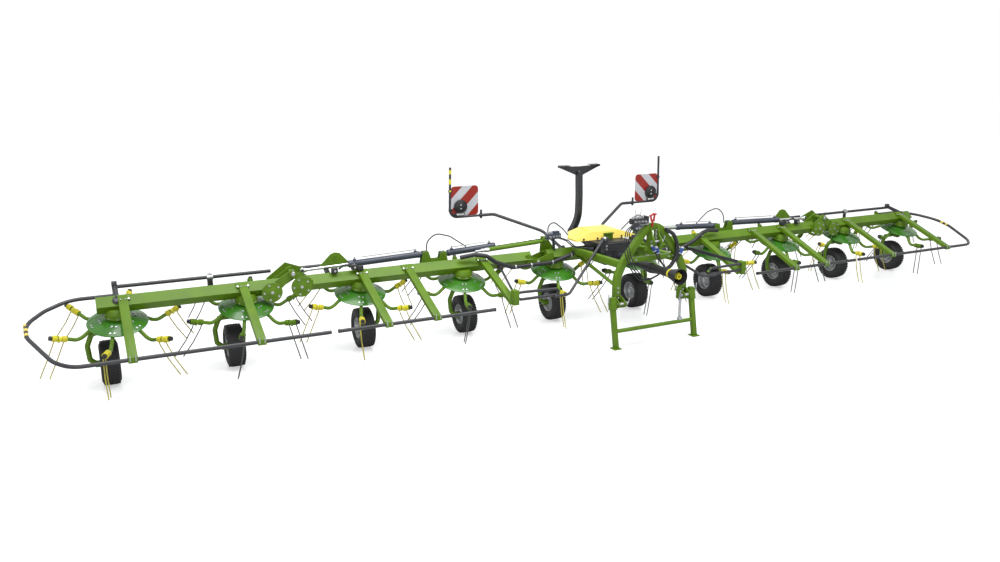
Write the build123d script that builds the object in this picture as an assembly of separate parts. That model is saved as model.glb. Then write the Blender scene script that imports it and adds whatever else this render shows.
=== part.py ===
"""Ten-rotor mounted hay tedder. Millimetres. +X is to the right, seen from the front (hitch) side,
-Y is the hitch side, +Z is up, the floor is Z = 0 and the machine's middle plane is X = 0.
Pieces are drawn with the beam's axis at Y = 0; save() moves them to the frame's origin."""

import math
import os

from build123d import *

os.makedirs("parts", exist_ok=True)

# Rotors
ROTOR_PITCH = 1120.0
ROTOR_TILT = 15.5
ROTOR_HEIGHT = 585.0
ARM_COUNT = 6
ARM_PHASE = 15.0
ARM_TIP_RADIUS = 565.0
ARM_TUBE_RADIUS = 17.0
ARM_ROOT_RADIUS = 170.0
ARM_DIP = 82.0
ARM_DIP_RADIUS = 345.0
DISH_RADIUS = 255.0
DISH_RISE = 48.0
DISH_WALL = 5.0
HUB_RADIUS = 70.0
COIL_RADIUS = 27.0
COIL_LENGTH = 50.0
COIL_PLACES = (450.0, 525.0)
TINE_WIRE = 9.5
TINE_DROP = 330.0
TINE_REACH = 165.0
TINE_TRAIL = 30.0

# Wheels, 16x6.50-8
TYRE_RADIUS = 205.0
TYRE_WIDTH = 165.0
RIM_SEAT_RADIUS = 101.6
WHEEL_HUB_RADIUS = 36.0
AXLE_RADIUS = 12.5
AXLE_BOSS_RADIUS = 30.0
WHEEL_BACK = 40.0
LEG_RADIUS = 21.0
# Height of the leg's upper run over the column's lower end
LEG_RISE = 9.0

# Folding beam, a square tube set on edge
BEAM_SIDE = 110.0
BEAM_HEIGHT = 747.0
BEAM_END = 5200.0
BEAM_HALF = BEAM_SIDE / math.sqrt(2)
CENTRE_BEAM_END = 660.0
FOLD_INNER_X = 800.0
FOLD_INNER_DROP = 37.0
FOLD_INNER_Z = BEAM_HEIGHT - FOLD_INNER_DROP
FOLD_OUTER_X = 3480.0
FOLD_OUTER_RISE = 125.0
FOLD_OUTER_Z = BEAM_HEIGHT + FOLD_OUTER_RISE
# Height above the beam's axis at which its upper rear face takes what is seated there
SEAT_RISE = 43.0
INNER_BEAM_START = 860.0
INNER_BEAM_END = 3360.0
OUTER_BEAM_START = 3600.0

# Fold hinges: the outer pair of ears carries the pin, the inner pair turns on it
HINGE_PLATE = 14.0
HINGE_PIN_RADIUS = 20.0
EAR_RADIUS = 38.0
EAR_INNER_Y = 56.0
EAR_GAP = 4.0
EAR_OUTER_Y = EAR_INNER_Y + HINGE_PLATE + EAR_GAP
FIT = 0.3

# Rotor columns and gearboxes under the beam
COLUMN_RADIUS = 36.0
COLUMN_DROP = 100.0
COLUMN_FLANGE = 52.0
GEARBOX_RADIUS = 92.0
# How far the gearbox reaches up past the beam's lower edge
GEARBOX_INTO_BEAM = 47.0

# Guards
GUARD_RADIUS = 17.0
GUARD_FRONT = 820.0
GUARD_HEIGHT = 475.0
REAR_TUBE_BACK = 220.0
REAR_TUBE_HEIGHT = 852.0
LOOP_BACK = 310.0
LOOP_BACK_HEIGHT = 750.0
LEVER_X = 5030.0
CLAMP_X = 4200.0
STRUT_WIDTH = 70.0
STRUT_THICK = 12.0
# Loop at the inner wing's short strut, and the centre's guard tube in front of it
SHORT_STRUT_X = 1460.0
LOOP_END_X = 965.0
LOOP_SPREAD = 72.0
LOOP_TUBE_RADIUS = 14.0
CENTRE_GUARD_BACK = 40.0
CENTRE_GUARD_X = 860.0
CENTRE_GUARD_END = 1040.0
CENTRE_GUARD_HEIGHT = 540.0

# Fold cylinders
BARREL_RADIUS = 33.0
ROD_RADIUS = 16.0
EYE_RADIUS = 30.0
EYE_WIDTH = 40.0
CYLINDER_PIN_RADIUS = 14.0
CYLINDER_BACK = 118.0
LUG_THICK = 9.0
LUG_GAP = 2.5
LUG_LOW = BEAM_HEIGHT + SEAT_RISE
BARREL_START = 62.0

# Headstock and stand
HITCH_SPREAD = 825.0
HITCH_FRONT = 1130.0
HITCH_HEIGHT = 450.0
HITCH_BORE_RADIUS = 14.25
HITCH_PLATE = 10.0
HITCH_MOUTH = 66.0
HITCH_NOSE = 35.0
TOP_BORE_RADIUS = 12.75
MAST_HEIGHT = 610.0
POST_WIDTH = 50.0
POST_DEPTH = 60.0
POST_BACK = 85.0
# The posts stand upright to this height, lean in to the shoulder and then run to the mast
POST_BEND = 700.0
SHOULDER_X = 352.0
SHOULDER_HEIGHT = 868.0
BRACE_RADIUS = 19.0
MAST_PLATE = 14.0
MAST_NOSE = 35.0
STAND_X = 500.0
STAND_FRONT = 1190.0
STAND_LEAN = 100.0
STAND_TOP = 520.0
STAND_SIDE = 50.0
SLEEVE_SIDE = 66.0
FOOT_SIDE = 90.0
FOOT_THICK = 10.0

# Drive
PTO_HEIGHT = 775.0
PTO_TUBE_RADIUS = 42.0
PTO_BORE_RADIUS = 17.5
PTO_START = 560.0
PTO_END = 1540.0
HOUSING_TOP = 905.0

# Warning boards and their arms
BOARD_SIDE = 340.0
BOARD_THICK = 4.0
BOARD_X = 1270.0
BOARD_BACK = 818.0
BOARD_HEIGHT = 1300.0
BOARD_ARM_RADIUS = 14.0
BOARD_ROD_TOP = 1688.0

# The file's origin lies this far in front of the beam's axis, under the middle of the outline
ORIGIN_BACK = 390.0

# Flat sides that stand for a round where a form is repeated many times
DISH_SIDES = 18
TYRE_SIDES = 24
RIM_SIDES = 12
TUBE_SIDES = 8
ARM_SIDES = 6

TAU = math.radians(ROTOR_TILT)
SIDES = (("left", -1), ("right", 1))

# Wheels: rotor number, wheel centre's offset in x from its rotor, side that the leg is on
WHEELS = (
    (1, -100.0, -1),
    (2, -130.0, -1),
    (3, 30.0, 1),
    (4, 40.0, -1),
    (5, 15.0, -1),
    (6, 15.0, 1),
    (7, 20.0, 1),
    (8, 35.0, -1),
    (9, -60.0, -1),
    (10, -85.0, -1),
)
WHEEL_TABLE = {number: (offset, side) for number, offset, side in WHEELS}

# Which rotors hang on which section
SECTIONS = {
    "outer_left": (1, 2),
    "inner_left": (3, 4),
    "centre": (5, 6),
    "inner_right": (7, 8),
    "outer_right": (9, 10),
}

# Guard struts: distance of the strut from the middle plane, by section
STRUTS = {"outer": (3945.0, 4980.0), "inner": (2300.0, 2786.0)}

# Fold cylinders: pin of the barrel and of the rod's eye as (distance from the middle plane,
# height over the beam's axis), the barrel's length, and how far the rod reaches into it
CYLINDERS = {
    "outer": ((2050.0, 143.0), (3345.0, 99.0), 830.0, 340.0),
    "inner": ((1850.0, 123.0), (640.0, 183.0), 620.0, 70.0),
}


def cylinder_pins(kind):
    """The two pins of a fold cylinder as (distance from the middle plane, height)."""
    return [(x, BEAM_HEIGHT + rise) for x, rise in CYLINDERS[kind][:2]]


def rotor_x(number):
    return (number - 5.5) * ROTOR_PITCH


def rotor_place(number):
    """The rotor's own frame: origin on its axis in the plane of the arm tips, z up its axis."""
    return Pos(rotor_x(number), 0, ROTOR_HEIGHT) * Rot(ROTOR_TILT, 0, 0)


def bar(start, end, radius):
    """A round bar between two points."""
    start, end = Vector(start), Vector(end)
    way = end - start
    return Solid.make_cylinder(radius, way.length, Plane(origin=start, z_dir=way))


def box_bar(start, end, width, depth, side=(1, 0, 0)):
    """A square-edged bar between two points, width measured along side."""
    start, end = Vector(start), Vector(end)
    way = end - start
    plane = Plane(origin=start, x_dir=side, z_dir=way)
    return extrude(plane * Rectangle(width, depth), way.length)


def pipe(points, radius, sides=TUBE_SIDES):
    """A bent tube, solid inside, mitred at its corners."""
    path = Polyline(*points)
    section = Plane(origin=path @ 0, z_dir=path % 0) * RegularPolygon(radius, sides)
    return sweep(section, path=path, transition=Transition.RIGHT)


def turned(profile, sides):
    """A solid about the z axis through polygons, from its outline's rows of (radius, z)."""
    return loft([Plane.XY.offset(z) * RegularPolygon(radius, sides) for radius, z in profile], ruled=True)


def plate(outline, y_low, thick):
    """A flat plate in an XZ plane, from its outline's corners as (x, z)."""
    face = make_face(Polyline(*[(x, 0, z) for x, z in outline], close=True))
    return Pos(0, y_low, 0) * extrude(face, amount=thick, dir=(0, 1, 0))


def side_plate(outline, x_low, x_high):
    """A flat plate in a YZ plane, from its outline's corners as (y, z)."""
    face = make_face(Polyline(*[(0, y, z) for y, z in outline], close=True))
    return Pos(x_low, 0, 0) * extrude(face, amount=x_high - x_low, dir=(1, 0, 0))


def block(x_range, y_range, z_range):
    """A box between three pairs of limits, given in either order."""
    (x0, x1), (y0, y1), (z0, z1) = (sorted(pair) for pair in (x_range, y_range, z_range))
    return Pos((x0 + x1) / 2, (y0 + y1) / 2, (z0 + z1) / 2) * Box(x1 - x0, y1 - y0, z1 - z0)


def as_one(*shapes):
    """Fuses shapes into one."""
    whole = shapes[0]
    for shape in shapes[1:]:
        whole = whole + shape
    return whole


def save(name, *shapes):
    """Writes one sub-part, with the frame's origin under the middle of the machine's outline."""
    solids = [Pos(0, ORIGIN_BACK, 0) * solid for shape in shapes for solid in shape.solids()]
    export_step(Compound(solids), f"parts/{name}.step")


# Rotor


def arm_height(radius):
    """Height of the arm's rising end above the plane of the arm tips."""
    return -ARM_DIP * (ARM_TIP_RADIUS - radius) / (ARM_TIP_RADIUS - ARM_DIP_RADIUS)


def tine(radius_out, height, turn):
    """One spring tine: a wire that goes down and outwards, bent half way and trailing."""
    points = (
        (radius_out, 0, height),
        (radius_out + 0.45 * TINE_REACH, turn * 0.3 * TINE_TRAIL, height - 0.5 * TINE_DROP),
        (radius_out + TINE_REACH, turn * TINE_TRAIL, height - TINE_DROP),
    )
    return pipe(points, TINE_WIRE * 0.62, 3)


def rotor_arm(turn):
    """One arm: its bent tube, the sleeve of its two spring coils and its two tines."""
    arm = pipe(
        (
            (ARM_ROOT_RADIUS, 0, -ARM_TUBE_RADIUS),
            (DISH_RADIUS, 0, -ARM_TUBE_RADIUS - 4),
            (ARM_DIP_RADIUS, 0, -ARM_DIP),
            (ARM_TIP_RADIUS, 0, 0),
        ),
        ARM_TUBE_RADIUS,
        ARM_SIDES,
    )
    rise = Vector(ARM_TIP_RADIUS - ARM_DIP_RADIUS, 0, ARM_DIP).normalized()
    low, high = (Vector(place, 0, arm_height(place)) for place in COIL_PLACES)
    sleeve = Plane(origin=low - rise * COIL_LENGTH / 2, z_dir=rise) * RegularPolygon(COIL_RADIUS, ARM_SIDES)
    arm += extrude(sleeve, (high - low).length + COIL_LENGTH)
    for place in COIL_PLACES:
        arm += tine(place, arm_height(place) - 12, turn)
    return arm


def rotor(turn):
    """The dish, its hub and the tined arms, about the z axis."""
    top = turned(
        (
            (HUB_RADIUS, -DISH_WALL - 30),
            (DISH_RADIUS - 45, -DISH_WALL - 18),
            (DISH_RADIUS, -DISH_WALL),
            (DISH_RADIUS, 0),
            (HUB_RADIUS + 20, DISH_RISE - 8),
            (HUB_RADIUS, DISH_RISE + 12),
        ),
        DISH_SIDES,
    )
    arm = rotor_arm(turn)
    for index in range(ARM_COUNT):
        top += Rot(0, 0, ARM_PHASE + index * 360 / ARM_COUNT) * arm
    return top - Solid.make_cylinder(COLUMN_RADIUS + FIT, 300, Plane.XY.offset(-150))


# Wheels


def tyre():
    """The tyre about the x axis, centred on the origin."""
    half = TYRE_WIDTH / 2
    outline = (
        (RIM_SEAT_RADIUS + 20, -half + 10),
        (RIM_SEAT_RADIUS + 55, -half),
        (TYRE_RADIUS - 20, -half + 8),
        (TYRE_RADIUS, -half + 34),
        (TYRE_RADIUS, half - 34),
        (TYRE_RADIUS - 20, half - 8),
        (RIM_SEAT_RADIUS + 55, half),
        (RIM_SEAT_RADIUS + 20, half - 10),
    )
    seat = Plane.XY.offset(-half) * RegularPolygon(RIM_SEAT_RADIUS + FIT, TYRE_SIDES)
    return Rot(0, 90, 0) * (turned(outline, TYRE_SIDES) - extrude(seat, TYRE_WIDTH))


def rim():
    """The wheel disc and hub about the x axis, with a bore for the axle."""
    half = TYRE_WIDTH / 2 - 22
    outer = turned(((RIM_SEAT_RADIUS, -half), (RIM_SEAT_RADIUS, half)), TYRE_SIDES)
    dish_high = turned(((RIM_SEAT_RADIUS - 22, 10), (RIM_SEAT_RADIUS - 12, half + 1)), RIM_SIDES)
    dish_low = turned(((RIM_SEAT_RADIUS - 12, -half - 1), (RIM_SEAT_RADIUS - 22, -10)), RIM_SIDES)
    hub = turned(((WHEEL_HUB_RADIUS, -half + 4), (WHEEL_HUB_RADIUS, half - 4)), RIM_SIDES)
    bore = Solid.make_cylinder(AXLE_RADIUS + FIT, TYRE_WIDTH, Plane.XY.offset(-TYRE_WIDTH / 2))
    return Rot(0, 90, 0) * (outer - dish_low - dish_high + hub - bore)


def wheel_leg(number):
    """The bent leg from the rotor's column down past the tyre to the hub, with its axle."""
    offset, side = WHEEL_TABLE[number]
    x = rotor_x(number)
    hub = x + offset
    foot_y = math.sin(TAU) * COLUMN_DROP
    foot_z = ROTOR_HEIGHT - math.cos(TAU) * COLUMN_DROP
    half = TYRE_WIDTH / 2
    leg = pipe(
        (
            (x, foot_y, foot_z + LEG_RISE),
            (hub + side * (half + 40), foot_y + 5, foot_z + LEG_RISE - 4),
            (hub + side * (half + 85), WHEEL_BACK, TYRE_RADIUS * 2 - 30),
            (hub + side * (half + 75), WHEEL_BACK, TYRE_RADIUS + 45),
            (hub + side * (half + 20), WHEEL_BACK, TYRE_RADIUS),
        ),
        LEG_RADIUS,
    )
    boss_end = (hub + side * (half + 38), WHEEL_BACK, TYRE_RADIUS)
    boss_face = (hub + side * (half - 22), WHEEL_BACK, TYRE_RADIUS)
    axle_end = (hub - side * (half - 20), WHEEL_BACK, TYRE_RADIUS)
    return as_one(leg, pipe((boss_end, boss_face), AXLE_BOSS_RADIUS), bar(boss_face, axle_end, AXLE_RADIUS))


def column(number):
    """Gearbox under the beam and the fixed column that the rotor turns on."""
    low = Solid.make_cylinder(COLUMN_RADIUS, COLUMN_DROP + DISH_RISE + 20, Plane.XY.offset(-COLUMN_DROP))
    flange = turned(((COLUMN_FLANGE, -COLUMN_DROP - 12), (COLUMN_FLANGE, -COLUMN_DROP + 10)), TUBE_SIDES)
    base = DISH_RISE + 18
    top = (BEAM_HEIGHT - BEAM_HALF + GEARBOX_INTO_BEAM - ROTOR_HEIGHT) / math.cos(TAU)
    gearbox = turned(
        (
            (GEARBOX_RADIUS, base),
            (GEARBOX_RADIUS, (base + top) / 2),
            (GEARBOX_RADIUS - 22, top),
        ),
        RIM_SIDES,
    )
    return rotor_place(number) * as_one(low, flange, gearbox)


# Beams, hinges and struts


def beam(x_low, x_high):
    """A length of the square beam, set on edge."""
    plane = Plane(origin=(x_low, 0, BEAM_HEIGHT), x_dir=(0, 1, 1), z_dir=(1, 0, 0))
    return extrude(plane * Rectangle(BEAM_SIDE, BEAM_SIDE), x_high - x_low)


# Room of the whole beam, cut out of what is seated on it
BEAM_ROOM = beam(-BEAM_END - 500, BEAM_END + 500)


def guard_tube(x_low, x_high):
    """A straight length of the front guard tube."""
    low, high = sorted((x_low, x_high))
    return pipe(((low, -GUARD_FRONT, GUARD_HEIGHT), (high, -GUARD_FRONT, GUARD_HEIGHT)), GUARD_RADIUS)


def strut(x):
    """A folded strut from the beam's upper front face to the clamp on the front guard tube."""
    top = (x, -BEAM_HALF * 0.35, BEAM_HEIGHT + BEAM_HALF * 0.8)
    low = (x, -GUARD_FRONT, GUARD_HEIGHT + GUARD_RADIUS - 4)
    channel = box_bar(top, low, STRUT_WIDTH, STRUT_THICK)
    rib = box_bar((x, -BEAM_HALF * 0.5, BEAM_HEIGHT + 25), (x, -GUARD_FRONT + 60, GUARD_HEIGHT + 14), STRUT_THICK, 40)
    clamp = Pos(x, -GUARD_FRONT, GUARD_HEIGHT) * Box(STRUT_WIDTH, 46, 46)
    return as_one(channel, rib, clamp) - guard_tube(x - 100, x + 100)


def hinge_ears(x_eye, z_eye, x_root, y_inner, bore):
    """A pair of flat ears with round eyes, reaching from a beam's end to the hinge pin."""
    outline = (
        (x_root, BEAM_HEIGHT - BEAM_HALF * 0.8),
        (x_root, BEAM_HEIGHT + BEAM_HALF * 0.8),
        (x_eye, z_eye + EAR_RADIUS),
        (x_eye, z_eye - EAR_RADIUS),
    )
    ears = []
    for y in (y_inner, -y_inner - HINGE_PLATE):
        eye_plane = Plane(origin=(x_eye, y, z_eye), z_dir=(0, 1, 0))
        ear = plate(outline, y, HINGE_PLATE) + extrude(eye_plane * RegularPolygon(EAR_RADIUS, RIM_SIDES), HINGE_PLATE)
        if bore:
            ear -= bar((x_eye, y - 10, z_eye), (x_eye, y + HINGE_PLATE + 10, z_eye), HINGE_PIN_RADIUS + FIT)
        ears.append(ear)
    web_end = y_inner + HINGE_PLATE / 2
    ears.append(box_bar((x_root, -web_end, BEAM_HEIGHT), (x_root, web_end, BEAM_HEIGHT), 40, 90))
    return as_one(ears[2], ears[0], ears[1])


def hinge_pin(x, z):
    half = EAR_OUTER_Y + HINGE_PLATE + 3
    return bar((x, -half, z), (x, half, z), HINGE_PIN_RADIUS)


def single_lug(outline):
    """One lug on the beam's side of a rod's eye, with a web under it to the beam."""
    gap = EYE_WIDTH / 2 + LUG_GAP
    x_values = [x for x, z in outline]
    low = min(z for x, z in outline)
    web = block((min(x_values), max(x_values)), (20, CYLINDER_BACK - gap), (low, low + LUG_THICK))
    return plate(outline, CYLINDER_BACK - gap - LUG_THICK, LUG_THICK) + web


def lug_pair(outline, pins):
    """Two lugs beside a cylinder's eye, a web under them to the beam, and pins as (x, z)."""
    gap = EYE_WIDTH / 2 + LUG_GAP
    x_values = [x for x, z in outline]
    low = min(z for x, z in outline)
    near = plate(outline, CYLINDER_BACK - gap - LUG_THICK, LUG_THICK)
    far = plate(outline, CYLINDER_BACK + gap, LUG_THICK)
    web = block((min(x_values), max(x_values)), (20, CYLINDER_BACK + gap + LUG_THICK), (low, low + LUG_THICK))
    whole = as_one(near, far, web)
    for x, z in pins:
        start = (x, CYLINDER_BACK - gap - LUG_THICK - 4, z)
        whole += bar(start, (x, CYLINDER_BACK + gap + LUG_THICK + 4, z), CYLINDER_PIN_RADIUS)
    return whole


def section_frame(name, x_low, x_high, side, struts):
    """One section's beam with its gearboxes, columns, wheel legs and guard struts."""
    whole = beam(*sorted((x_low, x_high)))
    for number in SECTIONS[name]:
        whole += column(number)
        whole += wheel_leg(number)
    for place in struts:
        whole += strut(side * place)
    return whole


def frame_centre():
    whole = section_frame("centre", -CENTRE_BEAM_END, CENTRE_BEAM_END, 1, ())
    (eye_x, eye_z) = cylinder_pins("inner")[1]
    for side in (-1, 1):
        whole += hinge_ears(side * FOLD_INNER_X, FOLD_INNER_Z, side * (CENTRE_BEAM_END - 40), EAR_OUTER_Y, False)
        whole += hinge_pin(side * FOLD_INNER_X, FOLD_INNER_Z)
        lug = (
            (side * (eye_x - 150), LUG_LOW),
            (side * (eye_x + 45), LUG_LOW),
            (side * (eye_x + 34), eye_z + 28),
            (side * (eye_x - 34), eye_z + 28),
        )
        whole += single_lug(lug)
    return whole


def frame_inner(name, side):
    whole = section_frame(f"inner_{name}", side * INNER_BEAM_START, side * INNER_BEAM_END, side, STRUTS["inner"])
    whole += hinge_ears(side * FOLD_INNER_X, FOLD_INNER_Z, side * (INNER_BEAM_START + 60), EAR_INNER_Y, True)
    whole += hinge_ears(side * FOLD_OUTER_X, FOLD_OUTER_Z, side * (INNER_BEAM_END - 50), EAR_OUTER_Y, False)
    whole += hinge_pin(side * FOLD_OUTER_X, FOLD_OUTER_Z)
    pins = [cylinder_pins(kind)[0] for kind in ("inner", "outer")]
    (x0, z0), (x1, z1) = pins
    # Low between the two pins, where the outer wing's lever comes to lie when it is folded over
    lug = (
        (side * (x0 - 50), LUG_LOW),
        (side * (x1 + 50), LUG_LOW),
        (side * (x1 + 32), z1 + 28),
        (side * (x1 - 32), z1 + 28),
        (side * (x1 - 60), LUG_LOW + 40),
        (side * (x0 + 45), LUG_LOW + 40),
        (side * (x0 + 30), z0 + 28),
        (side * (x0 - 34), z0 + 28),
    )
    whole += lug_pair(lug, [(side * x, z) for x, z in pins])
    whole += strut_plate(side)
    return whole


def strut_plate(side):
    """The short strut beside the centre, with the double loop of tube that guards the gap."""
    x = side * SHORT_STRUT_X
    top = (x, -BEAM_HALF * 0.35, BEAM_HEIGHT + BEAM_HALF * 0.8)
    low = (x, -GUARD_FRONT + 20, GUARD_HEIGHT + 30)
    channel = box_bar(top, low, STRUT_WIDTH, STRUT_THICK)
    rib = box_bar((x, -BEAM_HALF * 0.5, BEAM_HEIGHT + 25), (x, -GUARD_FRONT + 60, GUARD_HEIGHT + 18), STRUT_THICK, 40)
    low_z = GUARD_HEIGHT + 68
    high_z = low_z + LOOP_SPREAD
    foot = block((x - 28, x + 28), (-GUARD_FRONT - 22, -GUARD_FRONT + 60), (low_z - 48, high_z + 22))
    loop = pipe(
        (
            (x, -GUARD_FRONT, high_z - 8),
            (x - side * 60, -GUARD_FRONT, high_z + 2),
            (side * (LOOP_END_X + 30), -GUARD_FRONT, high_z - 8),
            (side * LOOP_END_X, -GUARD_FRONT, (low_z + high_z) / 2 - 4),
            (side * (LOOP_END_X + 30), -GUARD_FRONT, low_z),
            (x - side * 60, -GUARD_FRONT, low_z),
            (x, -GUARD_FRONT, low_z + 18),
        ),
        LOOP_TUBE_RADIUS,
    )
    return as_one(channel, rib, foot, loop)


def frame_outer(name, side):
    whole = section_frame(f"outer_{name}", side * OUTER_BEAM_START, side * BEAM_END, side, STRUTS["outer"])
    whole += hinge_ears(side * FOLD_OUTER_X, FOLD_OUTER_Z, side * (OUTER_BEAM_START + 50), EAR_INNER_Y, True)
    # Lever plate outside the rod's eye, carried by a block behind the ears' root
    (eye_x, eye_z) = cylinder_pins("outer")[1]
    lever_y = CYLINDER_BACK + EYE_WIDTH / 2 + LUG_GAP
    lever = (
        (side * (OUTER_BEAM_START + 90), BEAM_HEIGHT - 47),
        (side * (OUTER_BEAM_START + 90), BEAM_HEIGHT + 53),
        (side * (FOLD_OUTER_X + 20), FOLD_OUTER_Z + 68),
        (side * (eye_x - 26), eye_z + 24),
        (side * (eye_x - 26), eye_z - 24),
        (side * (FOLD_OUTER_X + 20), BEAM_HEIGHT - 27),
    )
    whole += plate(lever, lever_y, LUG_THICK)
    x_range = (side * (OUTER_BEAM_START + 40), side * (OUTER_BEAM_START + 90))
    whole += block(x_range, (EAR_INNER_Y, lever_y + LUG_THICK), (BEAM_HEIGHT - 47, BEAM_HEIGHT + 43))
    return whole


# Guards


def guard_inner(side):
    """The inner wing's front tube, and the short rear tube beside the outer hinge with its bracket."""
    x_end = side * (INNER_BEAM_END - 300)
    rear = pipe(
        ((side * INNER_BEAM_END, REAR_TUBE_BACK, REAR_TUBE_HEIGHT), (x_end, REAR_TUBE_BACK, REAR_TUBE_HEIGHT)),
        GUARD_RADIUS,
    )
    foot_x = x_end + side * 30
    bracket = box_bar((foot_x, REAR_TUBE_BACK, REAR_TUBE_HEIGHT - 8), (foot_x, 20, BEAM_HEIGHT - 2), 50, 10) - BEAM_ROOM
    return guard_tube(side * 1690, side * 3260), rear + bracket


def guard_outer(side):
    """Front tube that carries on round the wing's end and back to the beam, and the rear tube."""
    loop = pipe(
        (
            (side * 3330, -GUARD_FRONT, GUARD_HEIGHT),
            (side * 5430, -GUARD_FRONT, GUARD_HEIGHT),
            (side * 5560, -700, 504),
            (side * 5745, -270, 610),
            (side * 5755, -50, 664),
            (side * 5610, 150, 713),
            (side * 5410, LOOP_BACK, LOOP_BACK_HEIGHT),
            (side * 5000, LOOP_BACK, LOOP_BACK_HEIGHT),
        ),
        GUARD_RADIUS,
    )
    arm_start = (side * LEVER_X, LOOP_BACK, LOOP_BACK_HEIGHT)
    arm = pipe((arm_start, (side * LEVER_X, BEAM_HALF - 18, BEAM_HEIGHT + 10)), GUARD_RADIUS) - BEAM_ROOM
    rear = pipe(
        (
            (side * (LEVER_X + 10), REAR_TUBE_BACK, REAR_TUBE_HEIGHT),
            (side * (OUTER_BEAM_START + 30), REAR_TUBE_BACK, REAR_TUBE_HEIGHT),
        ),
        GUARD_RADIUS,
    )
    lever_low = (side * LEVER_X, -60, BEAM_HEIGHT + 48)
    lever = box_bar(lever_low, (side * LEVER_X, REAR_TUBE_BACK + 5, REAR_TUBE_HEIGHT + 16), 12, 44) - BEAM_ROOM
    # A bracket of a foot behind the beam and an upright, clear of the barrel when the wing is folded
    upright_low = (side * CLAMP_X, REAR_TUBE_BACK, BEAM_HEIGHT - 5)
    upright = box_bar(upright_low, (side * CLAMP_X, REAR_TUBE_BACK, REAR_TUBE_HEIGHT - 6), 50, 10)
    foot_end = (side * CLAMP_X, REAR_TUBE_BACK + 5, BEAM_HEIGHT)
    foot = box_bar((side * CLAMP_X, BEAM_HALF - 20, BEAM_HEIGHT), foot_end, 50, 10) - BEAM_ROOM
    return as_one(loop, arm), as_one(rear, lever, upright, foot)


def guard_centre(side):
    """The centre's guard tube, from its bracket on the drive housing down in front of the wing's loop."""
    front = -GUARD_FRONT - CENTRE_GUARD_BACK
    high = (side * 230, -486, HOUSING_TOP + 78)
    tube = pipe(
        (
            high,
            (side * CENTRE_GUARD_X, front + 12, CENTRE_GUARD_HEIGHT),
            (side * CENTRE_GUARD_END, front, CENTRE_GUARD_HEIGHT),
        ),
        LOOP_TUBE_RADIUS,
    )
    upright = block((side * 150, side * 248), (-482, -470), (HOUSING_TOP - 70, HOUSING_TOP + 98))
    return as_one(tube, upright, block((side * 150, side * 166), (-482, -460), (HOUSING_TOP - 70, HOUSING_TOP)))


# Fold cylinders


def cylinder(kind, side):
    """Barrel and rod of one fold cylinder, lying along the beam behind its upper face."""
    (x0, z0), (x1, z1) = cylinder_pins(kind)
    barrel_length, reach = CYLINDERS[kind][2:]
    start = Vector(side * x0, CYLINDER_BACK, z0)
    end = Vector(side * x1, CYLINDER_BACK, z1)
    way = (end - start).normalized()
    half = Vector(0, EYE_WIDTH / 2, 0)
    barrel = turned_bar(start + way * BARREL_START, start + way * barrel_length, BARREL_RADIUS)
    barrel += bar(start + way * 10, start + way * (BARREL_START + 5), EYE_WIDTH / 2)
    barrel += bar(start - half, start + half, EYE_RADIUS)
    barrel -= bar(start - half * 2, start + half * 2, CYLINDER_PIN_RADIUS + FIT)
    barrel -= bar(start + way * 80, start + way * (barrel_length + 20), ROD_RADIUS + FIT)
    rod = bar(start + way * (barrel_length - reach), end - way * 10, ROD_RADIUS)
    rod += bar(end - half, end + half, EYE_RADIUS - 2)
    return barrel, rod


def turned_bar(start, end, radius):
    """A bar with many flat sides between two points."""
    plane = Plane(origin=start, z_dir=end - start)
    return extrude(plane * RegularPolygon(radius, RIM_SIDES), (end - start).length)


# Headstock and stand

TOP_PIN_Z = HITCH_HEIGHT + MAST_HEIGHT
POST_X = HITCH_SPREAD / 2 + 18
POST_Y = -HITCH_FRONT + POST_BACK
MAST_TOP = TOP_PIN_Z + 170


def stand_tube(side, low, high, width):
    """A square tube along the stand leg's line, between two shares of the leg's length."""
    foot = Vector(side * STAND_X, -STAND_FRONT, FOOT_THICK / 2)
    way = Vector(0, STAND_LEAN, STAND_TOP - FOOT_THICK / 2)
    return box_bar(foot + way * low, foot + way * high, width, width)


def lower_hitch(side):
    """Two plates bored for a link pin at a post's foot, and the stand's sleeve beside them."""
    middle = HITCH_SPREAD / 2
    inner = middle - HITCH_MOUTH / 2 - HITCH_PLATE
    outer = middle + HITCH_MOUTH / 2
    ear = (
        (POST_Y + 30, HITCH_HEIGHT - 60),
        (POST_Y + 30, HITCH_HEIGHT + 70),
        (POST_Y - 25, HITCH_HEIGHT + 70),
        (-HITCH_FRONT - HITCH_NOSE, HITCH_HEIGHT + HITCH_NOSE / 2),
        (-HITCH_FRONT - HITCH_NOSE, HITCH_HEIGHT - HITCH_NOSE / 2),
        (-HITCH_FRONT - HITCH_NOSE / 2, HITCH_HEIGHT - HITCH_NOSE),
        (POST_Y - 25, HITCH_HEIGHT - 60),
    )
    z_range = (HITCH_HEIGHT - 60, HITCH_HEIGHT + 70)
    parts = [side_plate(ear, *sorted((side * x, side * (x + HITCH_PLATE)))) for x in (inner, outer)]
    parts.append(block((side * inner, side * (outer + HITCH_PLATE)), (POST_Y - 30, POST_Y - 10), z_range))
    parts.append(block((side * outer, side * (STAND_X - 15)), (POST_Y - 35, POST_Y + 15), (420, 490)))
    parts.append(stand_tube(side, 0.76, 0.97, SLEEVE_SIDE))
    bore_low = (side * (inner - 10), -HITCH_FRONT, HITCH_HEIGHT)
    bore_high = (side * (outer + HITCH_PLATE + 1), -HITCH_FRONT, HITCH_HEIGHT)
    return as_one(*parts) - bar(bore_low, bore_high, HITCH_BORE_RADIUS)


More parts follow.
